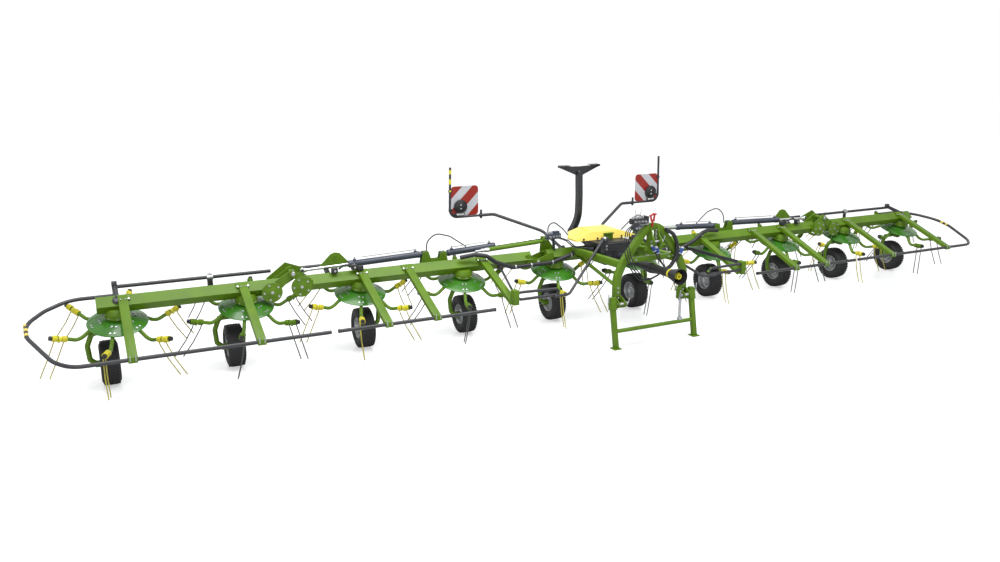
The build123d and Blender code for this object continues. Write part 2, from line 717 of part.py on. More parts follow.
def headstock():
    """Three-point headstock: two posts, arms to the mast, members back to the beam, forks and sleeves."""
    cross = (0, 1, 0)
    whole = box_bar((-80, POST_Y, MAST_TOP - 10), (80, POST_Y, MAST_TOP - 10), POST_DEPTH, 60, side=cross)
    bar_end = SHOULDER_X - 10
    bar_z = SHOULDER_HEIGHT + 7
    whole += box_bar((-bar_end, POST_Y, bar_z), (bar_end, POST_Y, bar_z), POST_DEPTH - 4, 50, side=cross)
    pin_y = POST_Y - 75
    nose = pin_y - MAST_NOSE
    mast_plate = (
        (POST_Y + 28, MAST_TOP),
        (POST_Y - 28, MAST_TOP),
        (POST_Y - 70, TOP_PIN_Z + 65),
        (nose, TOP_PIN_Z + MAST_NOSE / 2),
        (nose, TOP_PIN_Z - MAST_NOSE / 2),
        (nose + 20, TOP_PIN_Z - 45),
        (POST_Y - 28, TOP_PIN_Z - 75),
        (POST_Y + 28, TOP_PIN_Z - 75),
    )
    for side in (-1, 1):
        x = side * POST_X
        shoulder = (side * SHOULDER_X, POST_Y, SHOULDER_HEIGHT)
        whole += box_bar((x, POST_Y, HITCH_HEIGHT - 60), (x, POST_Y, POST_BEND + 12), POST_WIDTH, POST_DEPTH)
        whole += box_bar((x, POST_Y, POST_BEND - 6), shoulder, POST_DEPTH - 2, POST_WIDTH + 2, side=cross)
        whole += box_bar(shoulder, (side * 62, POST_Y, MAST_TOP), POST_DEPTH, 60, side=cross)
        member_low = (side * (SHOULDER_X + 12), POST_Y, SHOULDER_HEIGHT - 34)
        whole += box_bar(member_low, (side * 330, -20, BEAM_HEIGHT + 49), POST_DEPTH, 76)
        whole += bar((x, POST_Y, POST_BEND - 80), (side * 290, -30, BEAM_HEIGHT + 2), BRACE_RADIUS)
        whole += lower_hitch(side)
        whole += side_plate(mast_plate, *sorted((side * 38, side * (38 + MAST_PLATE))))
    whole -= bar((-60, pin_y, TOP_PIN_Z), (60, pin_y, TOP_PIN_Z), TOP_BORE_RADIUS)
    for side in (-1, 1):
        whole -= stand_tube(side, -0.1, 1.7, STAND_SIDE + 2 * FIT)
    return whole - BEAM_ROOM


def stand():
    """The parking stand: two leaning legs on square feet, joined by a cross tube."""
    height = 175
    y = -STAND_FRONT + STAND_LEAN * height / STAND_TOP
    whole = pipe(((-STAND_X, y, height), (STAND_X, y, height)), 20)
    for side in (-1, 1):
        whole += stand_tube(side, 0, 1, STAND_SIDE)
        whole += Pos(side * STAND_X, -STAND_FRONT, FOOT_THICK / 2) * Box(FOOT_SIDE, FOOT_SIDE, FOOT_THICK)
    return whole


# Drive, hood and what stands behind the beam


def drive_housing():
    """Closed gear housing in front of the beam, up to the hood, with its input flange."""
    body = block((-170, 170), (-460, -20), (PTO_HEIGHT - 85, HOUSING_TOP)) - BEAM_ROOM
    return body + bar((0, -450, PTO_HEIGHT), (0, -PTO_START, PTO_HEIGHT), 45)


def pto_shaft():
    """Drive shaft towards the tractor: joint, tube and the cone round its free end."""
    mouth = Plane(origin=(0, -PTO_END + 140, PTO_HEIGHT), z_dir=(0, -1, 0))
    whole = turned_bar(Vector(0, -PTO_START, PTO_HEIGHT), Vector(0, -PTO_START - 140, PTO_HEIGHT), 60)
    whole += turned_bar(Vector(0, -PTO_START - 130, PTO_HEIGHT), Vector(0, -PTO_END + 130, PTO_HEIGHT), PTO_TUBE_RADIUS)
    whole += Solid.make_cone(48, 80, 140, mouth)
    whole -= Solid.make_cone(40, 75, 120, mouth.offset(25))
    whole += Solid.make_cylinder(30, 95, mouth.offset(20))
    return whole - Solid.make_cylinder(PTO_BORE_RADIUS, 75, mouth.offset(45))


def hood():
    """Low chamfered hood over the drive."""
    outline = ((-300, 130), (-380, 0), (-260, -310), (-220, -450), (220, -450), (300, -300), (380, 0), (300, 130))
    profile = Polyline(*[(x, y, HOUSING_TOP) for x, y in outline], close=True)
    return extrude(make_face(profile), amount=110, dir=(0, 0, 1), taper=14)


def transport_rest():
    """Upright behind the beam with the forked plate on which the folded wings rest."""
    fork = make_face(
        Polyline(
            (-260, 0, 1690), (-150, 0, 1690), (0, 0, 1640), (150, 0, 1690), (260, 0, 1690), (260, 0, 1665),
            (35, 0, 1575), (-35, 0, 1575), (-260, 0, 1665), close=True,
        )
    )
    top = Pos(0, 395, 0) * extrude(fork, amount=12, dir=(0, 1, 0))
    upright = box_bar((0, 400, 1600), (0, 372, 1110), 60, 60)
    lower = box_bar((0, 368, 1130), (0, 530, 905), 60, 60)
    foot = box_bar((0, 545, 900), (0, 20, BEAM_HEIGHT + SEAT_RISE), 90, 50)
    return as_one(top, upright, lower, foot) - BEAM_ROOM


def board_arm(side):
    """Bent tube from the beam's rear face, under a warning board and up beside its outer edge."""
    rail = BOARD_HEIGHT - BOARD_SIDE / 2 - BOARD_ARM_RADIUS * math.cos(math.pi / TUBE_SIDES) - FIT
    path = (
        (side * 410, 20, BEAM_HEIGHT + SEAT_RISE),
        (side * 410, 520, 925),
        (side * 900, BOARD_BACK, rail),
        (side * (BOARD_X + BOARD_SIDE / 2 + 20), BOARD_BACK, rail),
        (side * (BOARD_X + BOARD_SIDE / 2 + 32), BOARD_BACK, BOARD_ROD_TOP),
    )
    return pipe(path, BOARD_ARM_RADIUS) - BEAM_ROOM


def board(side):
    """Square warning board, its face to the rear."""
    return Pos(side * BOARD_X, BOARD_BACK, BOARD_HEIGHT) * Box(BOARD_SIDE, BOARD_THICK, BOARD_SIDE)


ROTORS = {turn: rotor(turn) for turn in (1, -1)}
TYRE = tyre()
RIM = rim()
for number in range(1, 11):
    save(f"rotor_{number}", rotor_place(number) * ROTORS[1 if number % 2 else -1])
    place = Pos(rotor_x(number) + WHEEL_TABLE[number][0], WHEEL_BACK, TYRE_RADIUS)
    save(f"tyre_{number}", place * TYRE)
    save(f"rim_{number}", place * RIM)
save("frame_centre", frame_centre())
for side_name, side in SIDES:
    save(f"frame_inner_{side_name}", frame_inner(side_name, side))
    save(f"frame_outer_{side_name}", frame_outer(side_name, side))
    save(f"guard_inner_{side_name}", *guard_inner(side))
    save(f"guard_outer_{side_name}", *guard_outer(side))
    for kind in CYLINDERS:
        barrel, rod = cylinder(kind, side)
        save(f"barrel_{kind}_{side_name}", barrel)
        save(f"rod_{kind}_{side_name}", rod)
save("guard_centre", *[guard_centre(side) for _, side in SIDES])
save("headstock", headstock())
save("stand", stand())
save("hood", hood())
save("drive_housing", drive_housing())
save("pto_shaft", pto_shaft())
save("transport_rest", transport_rest())
save("board_arms", *[board_arm(side) for _, side in SIDES])
save("warning_boards", *[board(side) for _, side in SIDES])
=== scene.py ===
# %% [markdown]
# # A folding hay tedder
# The machine is a long square beam that carries ten spinning rotors on small wheels. A tractor
# lifts it by the headstock in the middle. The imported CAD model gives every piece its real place
# and size, so this script first loads that model as a frame, and then dresses it: each new piece
# is built around the CAD piece that it covers, and moves with the same body.

import math

import bmesh
import bpy
from mathutils import Matrix, Vector


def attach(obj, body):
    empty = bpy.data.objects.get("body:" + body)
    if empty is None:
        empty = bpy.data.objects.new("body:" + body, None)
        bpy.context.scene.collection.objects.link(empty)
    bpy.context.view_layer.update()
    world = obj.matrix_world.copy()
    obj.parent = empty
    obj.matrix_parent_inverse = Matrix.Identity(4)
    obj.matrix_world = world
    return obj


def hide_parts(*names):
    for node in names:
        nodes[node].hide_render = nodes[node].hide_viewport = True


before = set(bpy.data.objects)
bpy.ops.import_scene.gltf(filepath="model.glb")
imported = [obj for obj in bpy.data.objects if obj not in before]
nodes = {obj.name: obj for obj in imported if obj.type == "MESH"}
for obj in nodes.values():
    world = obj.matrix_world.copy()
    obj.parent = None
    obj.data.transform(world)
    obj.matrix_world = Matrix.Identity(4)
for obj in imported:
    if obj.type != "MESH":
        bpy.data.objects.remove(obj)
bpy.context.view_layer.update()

# %% [markdown]
# The camera comes first, because everything is judged through it. The photograph was taken from
# the left front, a little above the machine, with a lens of about 30 mm on a 36 mm sensor. The
# place and the two angles were worked out from the wheels' contact points and the beam's corners.

# %% Camera
CAMERA_PLACE = Vector((-5.235, -7.625, 2.784))
CAMERA_YAW = 0.4638
CAMERA_DIP = 0.2466
LENS_MM = 30.549

camera_data = bpy.data.cameras.new("camera")
camera_data.lens = LENS_MM
camera_data.sensor_width = 36.0
camera = bpy.data.objects.new("camera", camera_data)
camera.location = CAMERA_PLACE
camera.rotation_euler = (math.pi / 2 - CAMERA_DIP, 0.0, -CAMERA_YAW)
bpy.context.scene.collection.objects.link(camera)
bpy.context.scene.camera = camera
print("camera placed")

# %% [markdown]
# Shaders are small networks. Two helpers build them: one feeds values or other nodes' results
# into a node, and the other adds a node and feeds it.

# %% Shader helpers


def feed(tree, node, inputs):
    """Links each input that is given a socket, and sets the others."""
    for name, value in inputs.items():
        if isinstance(value, bpy.types.NodeSocket):
            tree.links.new(value, node.inputs[name])
        else:
            node.inputs[name].default_value = value


def add_node(tree, kind, inputs=None, **settings):
    node = tree.nodes.new("ShaderNode" + kind)
    for name, value in settings.items():
        setattr(node, name, value)
    feed(tree, node, inputs or {})
    return node


def new_material(name):
    material = bpy.data.materials.new(name)
    material.use_nodes = True
    tree = material.node_tree
    return material, tree, tree.nodes["Principled BSDF"]


print("shader helpers ready")

# %% [markdown]
# The studio is a pale floor and soft light. The background is white only for the camera and for
# mirror-like rays, through Light Path, so that the lamps can stay at a plain level and colours
# render about as they are written.

# %% Studio
FLOOR_SIZE = 60.0
FLOOR_TONE = (0.66, 0.66, 0.67, 1.0)
FLOOR_GLOW = 0.5
SKY_TONE = (0.93, 0.95, 1.0, 1.0)
SKY_STRENGTH = 0.48
WHITE = (1.0, 1.0, 1.0, 1.0)


def build_world():
    """Soft light from all round, with white behind it for the rays that see the background."""
    world = bpy.data.worlds.new("studio")
    bpy.context.scene.world = world
    world.use_nodes = True
    tree = world.node_tree
    tree.nodes.clear()
    soft = add_node(tree, "Background", {"Color": SKY_TONE, "Strength": SKY_STRENGTH})
    white = add_node(tree, "Background", {"Color": WHITE, "Strength": 1.0})
    rays = add_node(tree, "LightPath").outputs
    seen = add_node(tree, "Math", {0: rays["Is Camera Ray"], 1: rays["Is Glossy Ray"]}, operation="MAXIMUM")
    seen = add_node(tree, "Math", {0: seen.outputs[0], 1: rays["Is Transmission Ray"]}, operation="MAXIMUM")
    mix = add_node(tree, "MixShader", {0: seen.outputs[0], 1: soft.outputs[0], 2: white.outputs[0]})
    add_node(tree, "OutputWorld", {"Surface": mix.outputs[0]})


def build_floor():
    """A white floor that keeps the machine's soft shadow."""
    bm = bmesh.new()
    bmesh.ops.create_grid(bm, x_segments=1, y_segments=1, size=FLOOR_SIZE / 2)
    mesh = bpy.data.meshes.new("floor")
    bm.to_mesh(mesh)
    bm.free()
    floor = bpy.data.objects.new("floor", mesh)
    bpy.context.scene.collection.objects.link(floor)
    material, tree, shader = new_material("studio floor")
    feed(tree, shader, {"Base Color": FLOOR_TONE, "Roughness": 0.28, "Specular IOR Level": 0.4})
    glow = add_node(tree, "Emission", {"Color": WHITE, "Strength": FLOOR_GLOW})
    lit = add_node(tree, "AddShader", {0: shader.outputs[0], 1: glow.outputs[0]})
    rays = add_node(tree, "LightPath").outputs
    mix = add_node(tree, "MixShader", {0: rays["Is Camera Ray"], 1: shader.outputs[0], 2: lit.outputs[0]})
    feed(tree, tree.nodes["Material Output"], {"Surface": mix.outputs[0]})
    mesh.materials.append(material)


def area_lamp(name, place, target, size, power):
    data = bpy.data.lights.new(name, "AREA")
    data.shape = "RECTANGLE"
    data.size, data.size_y = size
    data.energy = power
    lamp = bpy.data.objects.new(name, data)
    lamp.location = place
    lamp.rotation_euler = (Vector(target) - Vector(place)).to_track_quat("-Z", "Y").to_euler()
    bpy.context.scene.collection.objects.link(lamp)


build_world()
build_floor()
area_lamp("ceiling light", (-1.0, -1.5, 7.5), (0, 0.4, 0.4), (11.0, 4.0), 820.0)
area_lamp("front light", (-7.0, -8.5, 4.5), (-1.0, 0.4, 0.6), (6.0, 3.0), 230.0)
bpy.context.scene.view_settings.view_transform = "Standard"
print("studio lit")

# %% [markdown]
# ## Finishes
# Most of the machine is painted steel. Real enamel isn't one flat colour: the film is a little
# thicker here and thinner there, dust settles on it, and the gloss varies. Each finish below mixes
# two close tones through noise on Object coordinates, and lets the same noise move the roughness
# and a very small bump. Numbers that are the same all over are set on the shader's own sockets.

# %% Finishes
LEAST_ROUGHNESS = 0.02
RELIEF_HEIGHT = 0.002
ENAMEL_SPECULAR = 0.3


def finish(
    name, tone, other, roughness, spread=0.08, metallic=0.0, coat=0.0, scale=6.0, bump=0.02, grain=180.0
):
    """A Principled material: two tones in soft patches, fine grain in the roughness and the bump."""
    material, tree, shader = new_material(name)
    place = add_node(tree, "TexCoord").outputs["Object"]
    patches = add_node(tree, "TexNoise", {"Vector": place, "Scale": scale, "Detail": 5.0}).outputs["Fac"]
    fine = add_node(tree, "TexNoise", {"Vector": place, "Scale": grain, "Detail": 3.0}).outputs["Fac"]
    ramp = add_node(tree, "ValToRGB", {"Fac": patches})
    for element, position, colour in zip(ramp.color_ramp.elements, (0.35, 0.65), (other, tone)):
        element.position = position
        element.color = (*colour, 1.0)
    low = max(roughness - spread, LEAST_ROUGHNESS)
    gloss = add_node(tree, "MapRange", {"Value": patches, "To Min": low, "To Max": roughness + spread})
    relief = add_node(tree, "Bump", {"Height": fine, "Strength": bump, "Distance": RELIEF_HEIGHT})
    feed(tree, shader, {
        "Base Color": ramp.outputs["Color"], "Roughness": gloss.outputs["Result"],
        "Normal": relief.outputs["Normal"], "Metallic": metallic,
        "Coat Weight": coat, "Coat Roughness": 0.08,
    })
    return material


FINISHES = {
    "green": finish("green enamel", (0.108, 0.212, 0.006), (0.088, 0.178, 0.005), 0.46, coat=0.03),
    "dish_green": finish("dish enamel", (0.044, 0.190, 0.014), (0.036, 0.155, 0.011), 0.26, coat=0.35),
    "yellow": finish("yellow hood", (0.83, 0.66, 0.13), (0.78, 0.60, 0.10), 0.36, coat=0.2),
    "bright_yellow": finish("yellow coils", (0.72, 0.66, 0.035), (0.62, 0.55, 0.03), 0.42),
    "tine_yellow": finish("yellow tines", (0.50, 0.45, 0.05), (0.34, 0.31, 0.05), 0.45, scale=20.0),
    "tine_dark": finish("dark tines", (0.045, 0.055, 0.045), (0.03, 0.035, 0.03), 0.42, scale=20.0),
    "black": finish("black enamel", (0.026, 0.027, 0.031), (0.019, 0.020, 0.023), 0.42, coat=0.1),
    "plastic": finish("black plastic", (0.016, 0.016, 0.017), (0.012, 0.012, 0.013), 0.5, bump=0.05),
    "rubber": finish(
        "tyre rubber", (0.017, 0.017, 0.018), (0.010, 0.010, 0.011), 0.72, bump=0.25, grain=90.0
    ),
    "hose": finish("hose rubber", (0.012, 0.013, 0.015), (0.009, 0.010, 0.012), 0.45, bump=0.08),
    "slate": finish("cylinder paint", (0.040, 0.050, 0.075), (0.032, 0.040, 0.062), 0.36, coat=0.2),
    "zinc": finish("zinc plate", (0.56, 0.57, 0.58), (0.44, 0.45, 0.47), 0.36, metallic=0.9, bump=0.06),
    "rim": finish("rim silver", (0.50, 0.51, 0.52), (0.36, 0.37, 0.38), 0.42, metallic=0.6, bump=0.04),
    "chrome": finish("rod chrome", (0.72, 0.73, 0.75), (0.66, 0.67, 0.69), 0.12, spread=0.04, metallic=1.0),
    "red": finish("red plastic", (0.55, 0.02, 0.02), (0.42, 0.015, 0.015), 0.4),
    "blue": finish("blue plastic", (0.02, 0.07, 0.30), (0.015, 0.05, 0.22), 0.4),
    "lens": finish("white reflector", (0.72, 0.72, 0.74), (0.62, 0.62, 0.65), 0.2, coat=0.4),
}
for name in ("green", "dish_green", "yellow"):
    shader = FINISHES[name].node_tree.nodes["Principled BSDF"]
    shader.inputs["Specular IOR Level"].default_value = ENAMEL_SPECULAR
print(len(FINISHES), "finishes")

# %% [markdown]
# ## Helpers
# Nearly everything here is tube, plate, turned part or bolt. A tube is a circle that is extruded
# along its path, ring by ring, which keeps the section round through each bend. Pieces are drawn
# with the beam's axis at y = 0, as the CAD source does, and moved back by the same distance.

# %% Mesh helpers
BEAM_BACK = 0.39
SIDES = (("left", -1), ("right", 1))
TURN_45 = Matrix.Rotation(math.radians(45), 4, "X")
ACROSS_Y = Matrix.Rotation(math.pi / 2, 4, "X")
ACROSS_X = Matrix.Rotation(math.pi / 2, 4, "Z") @ ACROSS_Y


def along(place, way):
    """A matrix that starts at place and points its z axis along way."""
    return Matrix.Translation(place) @ Vector(way).to_track_quat("Z", "X").to_matrix().to_4x4()


def round_corners(points, radius, steps):
    """The path with each corner replaced by an arc, of that radius or what the runs allow."""
    path = [points[0]]
    for before, corner, after in zip(points, points[1:], points[2:]):
        into, out = (before - corner), (after - corner)
        turn = math.pi - into.angle(out)
        if turn < 0.02:
            path.append(corner)
            continue
        reach = min(radius * math.tan(turn / 2), 0.48 * into.length, 0.48 * out.length)
        arc_radius = reach / math.tan(turn / 2)
        into.normalize()
        out.normalize()
        centre = corner + (into + out).normalized() * (arc_radius / math.cos(turn / 2))
        start = corner + into * reach
        axis = (start - centre).cross(corner + out * reach - centre).normalized()
        count = max(2, min(steps, round(steps * turn / 1.2) + 1))
        for index in range(count + 1):
            path.append(centre + Matrix.Rotation(turn * index / count, 3, axis) @ (start - centre))
    path.append(points[-1])
    return path


def edges_of(verts):
    return list({edge for vert in verts for edge in vert.link_edges})


def grow(bm, ring):
    """Extrudes a ring of edges and returns the new ring's verts and edges."""
    grown = bmesh.ops.extrude_edge_only(bm, edges=ring)["geom"]
    verts = [item for item in grown if isinstance(item, bmesh.types.BMVert)]
    return verts, [item for item in grown if isinstance(item, bmesh.types.BMEdge)]


def round_edges(bm, edges, size, segments=2):
    bmesh.ops.bevel(
        bm, geom=edges, offset=size, offset_type="OFFSET", segments=segments, profile=0.5,
        affect="EDGES", material=-1, clamp_overlap=True,
    )


def cut(bm, place, way):
    """Saws off what lies beyond a plane and closes the cut."""
    made = bmesh.ops.bisect_plane(
        bm, geom=bm.verts[:] + bm.edges[:] + bm.faces[:], dist=1e-6, plane_co=place, plane_no=way,
        clear_outer=True, clear_inner=False,
    )
    edges = [item for item in made["geom_cut"] if isinstance(item, bmesh.types.BMEdge)]
    if edges:
        bmesh.ops.edgeloop_fill(bm, edges=edges)


def bush(bore, radius, half, edge, fall):
    """The outline of a short sleeve whose ends are chamfered by edge across and fall along."""
    return ((bore, -half), (radius - edge, -half), (radius, fall - half), (radius, half - fall),
            (radius - edge, half), (bore, half))


print("mesh helpers ready")

# %% [markdown]
# A draft is one mesh in the making. Each of its methods adds a shape and returns the draft, so that
# a piece can be written as a chain of shapes that ends with the finished piece. Places are given
# for the right side of the machine, and a draft with side -1 mirrors them to the left.

# %% Draft


class Draft:
    def __init__(self, side=1):
        self.bm = bmesh.new()
        self.side = side

    def at(self, place):
        return Vector((self.side * place[0], place[1], place[2]))

    def tube(self, points, radius, bend=0.05, segments=12, steps=6, twist=0.0):
        """A round tube along a path: one circle, extruded and turned from point to point."""
        path = round_corners([self.at(point) for point in points], bend, steps)
        way = (path[1] - path[0]).normalized()
        place = along(path[0], way) @ Matrix.Rotation(twist, 4, "Z")
        start = bmesh.ops.create_circle(
            self.bm, cap_ends=False, segments=segments, radius=radius, matrix=place
        )
        first = ring = edges_of(start["verts"])
        facing = way
        for index in range(1, len(path)):
            verts, ring = grow(self.bm, ring)
            bmesh.ops.translate(self.bm, vec=path[index] - path[index - 1], verts=verts)
            ahead = half = way
            if index < len(path) - 1:
                ahead = (path[index + 1] - path[index]).normalized()
                half = (way + ahead).normalized()
            turn = facing.rotation_difference(half).to_matrix()
            bmesh.ops.rotate(self.bm, cent=path[index], matrix=turn, verts=verts)
            facing, way = half, ahead
        bmesh.ops.edgeloop_fill(self.bm, edges=first)
        bmesh.ops.edgeloop_fill(self.bm, edges=ring)
        return self

    def rod(self, start, end, radius, end_radius=None, segments=16):
        """A straight round bar, or a taper, between two points."""
        start, end = self.at(start), self.at(end)
        bmesh.ops.create_cone(
            self.bm, cap_ends=True, segments=segments, radius1=radius,
            radius2=radius if end_radius is None else end_radius, depth=(end - start).length,
            matrix=along((start + end) / 2, end - start),
        )
        return self

    def box(self, centre, size, bevel=0.0, turn=Matrix.Identity(4)):
        """A box by its centre and size, turned about its centre, with optional rounded edges."""
        place = Matrix.Translation(self.at(centre)) @ turn @ Matrix.Diagonal((*size, 1.0))
        made = bmesh.ops.create_cube(self.bm, size=1.0, matrix=place)
        if bevel:
            round_edges(self.bm, edges_of(made["verts"]), bevel)
        return self

    def beam(self, start, end, width, depth, bevel=0.003, across=(1, 0, 0)):
        """A square-edged bar between two points, its width measured across."""
        way = self.at(end) - self.at(start)
        length = way.length
        way.normalize()
        across = Vector(across)
        across = (across - way * across.dot(way)).normalized()
        turn = Matrix((across, way.cross(across), way)).transposed().to_4x4()
        return self.box((Vector(start) + Vector(end)) / 2, (width, depth, length), bevel, turn)

    def plate(self, outline, thick, matrix, bevel=0.0015):
        """A flat plate with a convex outline (x, y): a block, sawn along each side of the outline."""
        part = bmesh.new()
        low = Vector((min(x for x, y in outline), min(y for x, y in outline), 0.0))
        high = Vector((max(x for x, y in outline), max(y for x, y in outline), thick))
        size = high - low
        shape = Matrix.Diagonal((size.x + 0.002, size.y + 0.002, thick, 1.0))
        bmesh.ops.create_cube(part, size=1.0, matrix=Matrix.Translation((low + high) / 2) @ shape)
        middle = Vector((sum(x for x, y in outline), sum(y for x, y in outline), 0.0)) / len(outline)
        for (x0, y0), (x1, y1) in zip(outline, outline[1:] + outline[:1]):
            way = Vector((y1 - y0, x0 - x1, 0.0))
            if way.dot(Vector((x0, y0, 0.0)) - middle) < 0:
                way.negate()
            cut(part, (x0, y0, 0.0), way)
        round_edges(part, part.edges[:], bevel, 1)
        return self.merge(part, matrix)

    def front_plate(self, outline, y, thick, bevel):
        """A plate across Y with a convex outline of (x, z)."""
        outline = [(self.side * x, z) for x, z in outline]
        return self.plate(outline, thick, Matrix.Translation((0, y, 0)) @ ACROSS_Y, bevel)

    def turned(self, rows, place=None, way=(0, 0, 1), steps=32):
        """A part turned on a lathe: a ring, extruded and scaled through rows of (radius, height)."""
        part = bmesh.new()
        (radius, height), *rest = rows
        start = bmesh.ops.create_circle(
            part, cap_ends=False, segments=steps, radius=radius, matrix=Matrix.Translation((0, 0, height))
        )
        ring = edges_of(start["verts"])
        for next_radius, next_height in rest:
            verts, ring = grow(part, ring)
            share = next_radius / radius
            bmesh.ops.scale(part, vec=(share, share, 1.0), verts=verts)
            bmesh.ops.translate(part, vec=(0, 0, next_height - height), verts=verts)
            radius, height = next_radius, next_height
        return self.merge(part, None if place is None else along(self.at(place), self.at(way)))

    def bolts(self, places, way, size):
        """Hexagon bolt heads on washers, looking along way."""
        way = Vector(way).normalized()
        for place in places:
            foot = Vector(place)
            self.rod(foot, foot + way * size * 0.16, size * 1.15, segments=12)
            self.rod(foot + way * size * 0.16, foot + way * size * 0.75, size * 0.92, segments=6)
        return self

    def fitting(self, start, way, nut, stub, radius=0.013, stub_radius=0.009):
        """A hexagon nut and the round stub that a hose is pressed on, each by its length."""
        middle = Vector(start) + Vector(way) * nut
        self.rod(start, middle, radius, segments=6)
        return self.rod(middle, middle + Vector(way) * stub, stub_radius, segments=12)

    def moved(self, matrix, draw, *rest):
        """Draws something and then moves only what was drawn."""
        before = set(self.bm.verts)
        draw(self, *rest)
        bmesh.ops.transform(self.bm, matrix=matrix, verts=[v for v in self.bm.verts if v not in before])
        return self

    def merge(self, part, matrix=None):
        """Adds a mesh that was drawn by itself, moved by a matrix."""
        if matrix is not None:
            bmesh.ops.transform(part, matrix=matrix, verts=part.verts)
        mesh = bpy.data.meshes.new("part")
        part.to_mesh(mesh)
        part.free()
        self.bm.from_mesh(mesh)
        bpy.data.meshes.remove(mesh)
        return self

    def copy(self, mesh, matrix):
        part = bmesh.new()
        part.from_mesh(mesh)
        return self.merge(part, matrix)

    def mesh(self, name="shared"):
        """Ends the draft as a mesh, for copying to several places or for a piece."""
        mesh = bpy.data.meshes.new(name)
        self.bm.to_mesh(mesh)
        self.bm.free()
        return mesh

    def piece(self, name, body, finish_name, node=None, smooth=40.0):
        """Ends the draft as a finished object that rides on a body and may replace a CAD node."""
        bmesh.ops.translate(self.bm, vec=(0, BEAM_BACK, 0), verts=self.bm.verts)
        bmesh.ops.recalc_face_normals(self.bm, faces=self.bm.faces)
        mesh = self.mesh(name)
        mesh.materials.append(FINISHES[finish_name])
        mesh.shade_smooth()
        mesh.set_sharp_from_angle(angle=math.radians(smooth))
        made = bpy.data.objects.new(name, mesh)
        bpy.context.scene.collection.objects.link(made)
        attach(made, body)
        if node:
            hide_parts(node)


print("draft ready")

# %% [markdown]
# ## Rotors
# A rotor is a domed steel dish with six bent arms bolted under it. Each arm ends in a black cap
# and carries a pair of sprung tines: one wire, wound into two coils round the arm and clamped
# between them. One rotor is drawn about its own axis and copied to its ten tilted places.

# %% Rotor shapes
ROTOR_PITCH = 1.12
ROTOR_TILT = math.radians(15.5)
ROTOR_HEIGHT = 0.585
ARM_RADIUS = 0.017
ARM_TIP = 0.565
ARM_DIP = 0.082
ARM_DIP_AT = 0.345
ARM_PHASE = math.radians(15)
ARM_RISE = Vector((ARM_TIP - ARM_DIP_AT, 0, ARM_DIP)).normalized()
COIL_PLACES = (0.45, 0.525)
COIL_TURNS = 4
COIL_STEPS = COIL_TURNS * 12
WIRE_RADIUS = 0.0053
TINE_DROP = 0.33
TINE_REACH = 0.165
TINE_TRAIL = 0.03
DISH_ROWS = (
    (0.04, 0.062), (0.066, 0.062), (0.078, 0.054), (0.092, 0.046), (0.14, 0.0375), (0.19, 0.0225),
    (0.228, 0.0095), (0.25, 0.001), (0.2555, -0.0025), (0.255, -0.0065), (0.25, -0.006),
    (0.225, 0.003), (0.185, 0.015), (0.14, 0.03), (0.09, 0.038), (0.07, 0.038),
)
HUB_ROWS = ((0.04, -0.034), (0.105, -0.034), (0.11, -0.026), (0.11, 0.02), (0.08, 0.036))


def rotor_x(number):
    return (number - 5.5) * ROTOR_PITCH


def rotor_place(number):
    """The rotor's own frame, with its z axis along the tilted shaft."""
    return Matrix.Translation((rotor_x(number), 0, ROTOR_HEIGHT)) @ Matrix.Rotation(ROTOR_TILT, 4, "X")


def arm_height(radius):
    return -ARM_DIP * (ARM_TIP - radius) / (ARM_TIP - ARM_DIP_AT)


def coil_frame(radius):
    """A matrix whose z axis lies along the arm's rising end, at that radius."""
    return along((radius, 0, arm_height(radius)), ARM_RISE)


def draw_arm(part):
    part.tube(((0.095, 0, -0.012), (0.232, 0, -0.017), (0.3, 0, -0.068), (0.352, 0, -0.084),
               (0.405, 0, arm_height(0.405)), (ARM_TIP, 0, 0)), ARM_RADIUS, bend=0.09, steps=4)
    part.box((0.165, 0, -0.004), (0.1, 0.062, 0.012), 0.002)


def draw_cap(part):
    tip = Vector((ARM_TIP, 0, 0))
    part.rod(tip - ARM_RISE * 0.012, tip + ARM_RISE * 0.004, 0.0205, segments=14)
    part.rod(tip - ARM_RISE * 0.012, tip - ARM_RISE * 0.017, 0.0205, 0.0175, segments=14)


def draw_coil(part):
    """A circle of wire, screwed round the arm."""
    length = COIL_TURNS * WIRE_RADIUS * 2.05
    place = Matrix.Translation((ARM_RADIUS + WIRE_RADIUS + 0.0015, 0, -length / 2)) @ ACROSS_Y
    ring = bmesh.ops.create_circle(
        part.bm, cap_ends=False, segments=6, radius=WIRE_RADIUS, matrix=place
    )["verts"]
    bmesh.ops.spin(
        part.bm, geom=ring + edges_of(ring), cent=(0, 0, 0), axis=(0, 0, 1), angle=math.tau * COIL_TURNS,
        dvec=(0, 0, length / COIL_STEPS), steps=COIL_STEPS, use_merge=False,
    )


def draw_coils(part):
    for radius in COIL_PLACES:
        part.moved(coil_frame(radius), draw_coil)


def draw_clamp(part):
    part.rod((0, 0, -0.013), (0, 0, 0.013), 0.0225, segments=12)
    part.box((-0.026, 0, 0), (0.016, 0.022, 0.02), 0.002)


def draw_clamp_in_place(part):
    part.moved(coil_frame(sum(COIL_PLACES) / 2), draw_clamp)


def draw_tines(part, turn):
    side = turn * 0.02
    for radius in COIL_PLACES:
        height = arm_height(radius) - 0.018
        part.tube(
            ((radius, -side, height + 0.02), (radius + 0.004, -side, height - 0.02),
             (radius + 0.45 * TINE_REACH, turn * 0.3 * TINE_TRAIL - side * 0.6, height - 0.5 * TINE_DROP),
             (radius + TINE_REACH, turn * TINE_TRAIL, height - TINE_DROP + 0.008)),
            WIRE_RADIUS, bend=0.16, segments=8, steps=5,
        )


def draw_arm_bolts(part):
    for radius, height, slope in ((0.222, 0.0125, 0.35), (0.15, 0.0355, 0.25)):
        part.bolts([(radius, side, height) for side in (-0.018, 0.018)], (slope, 0, 1), 0.0085)


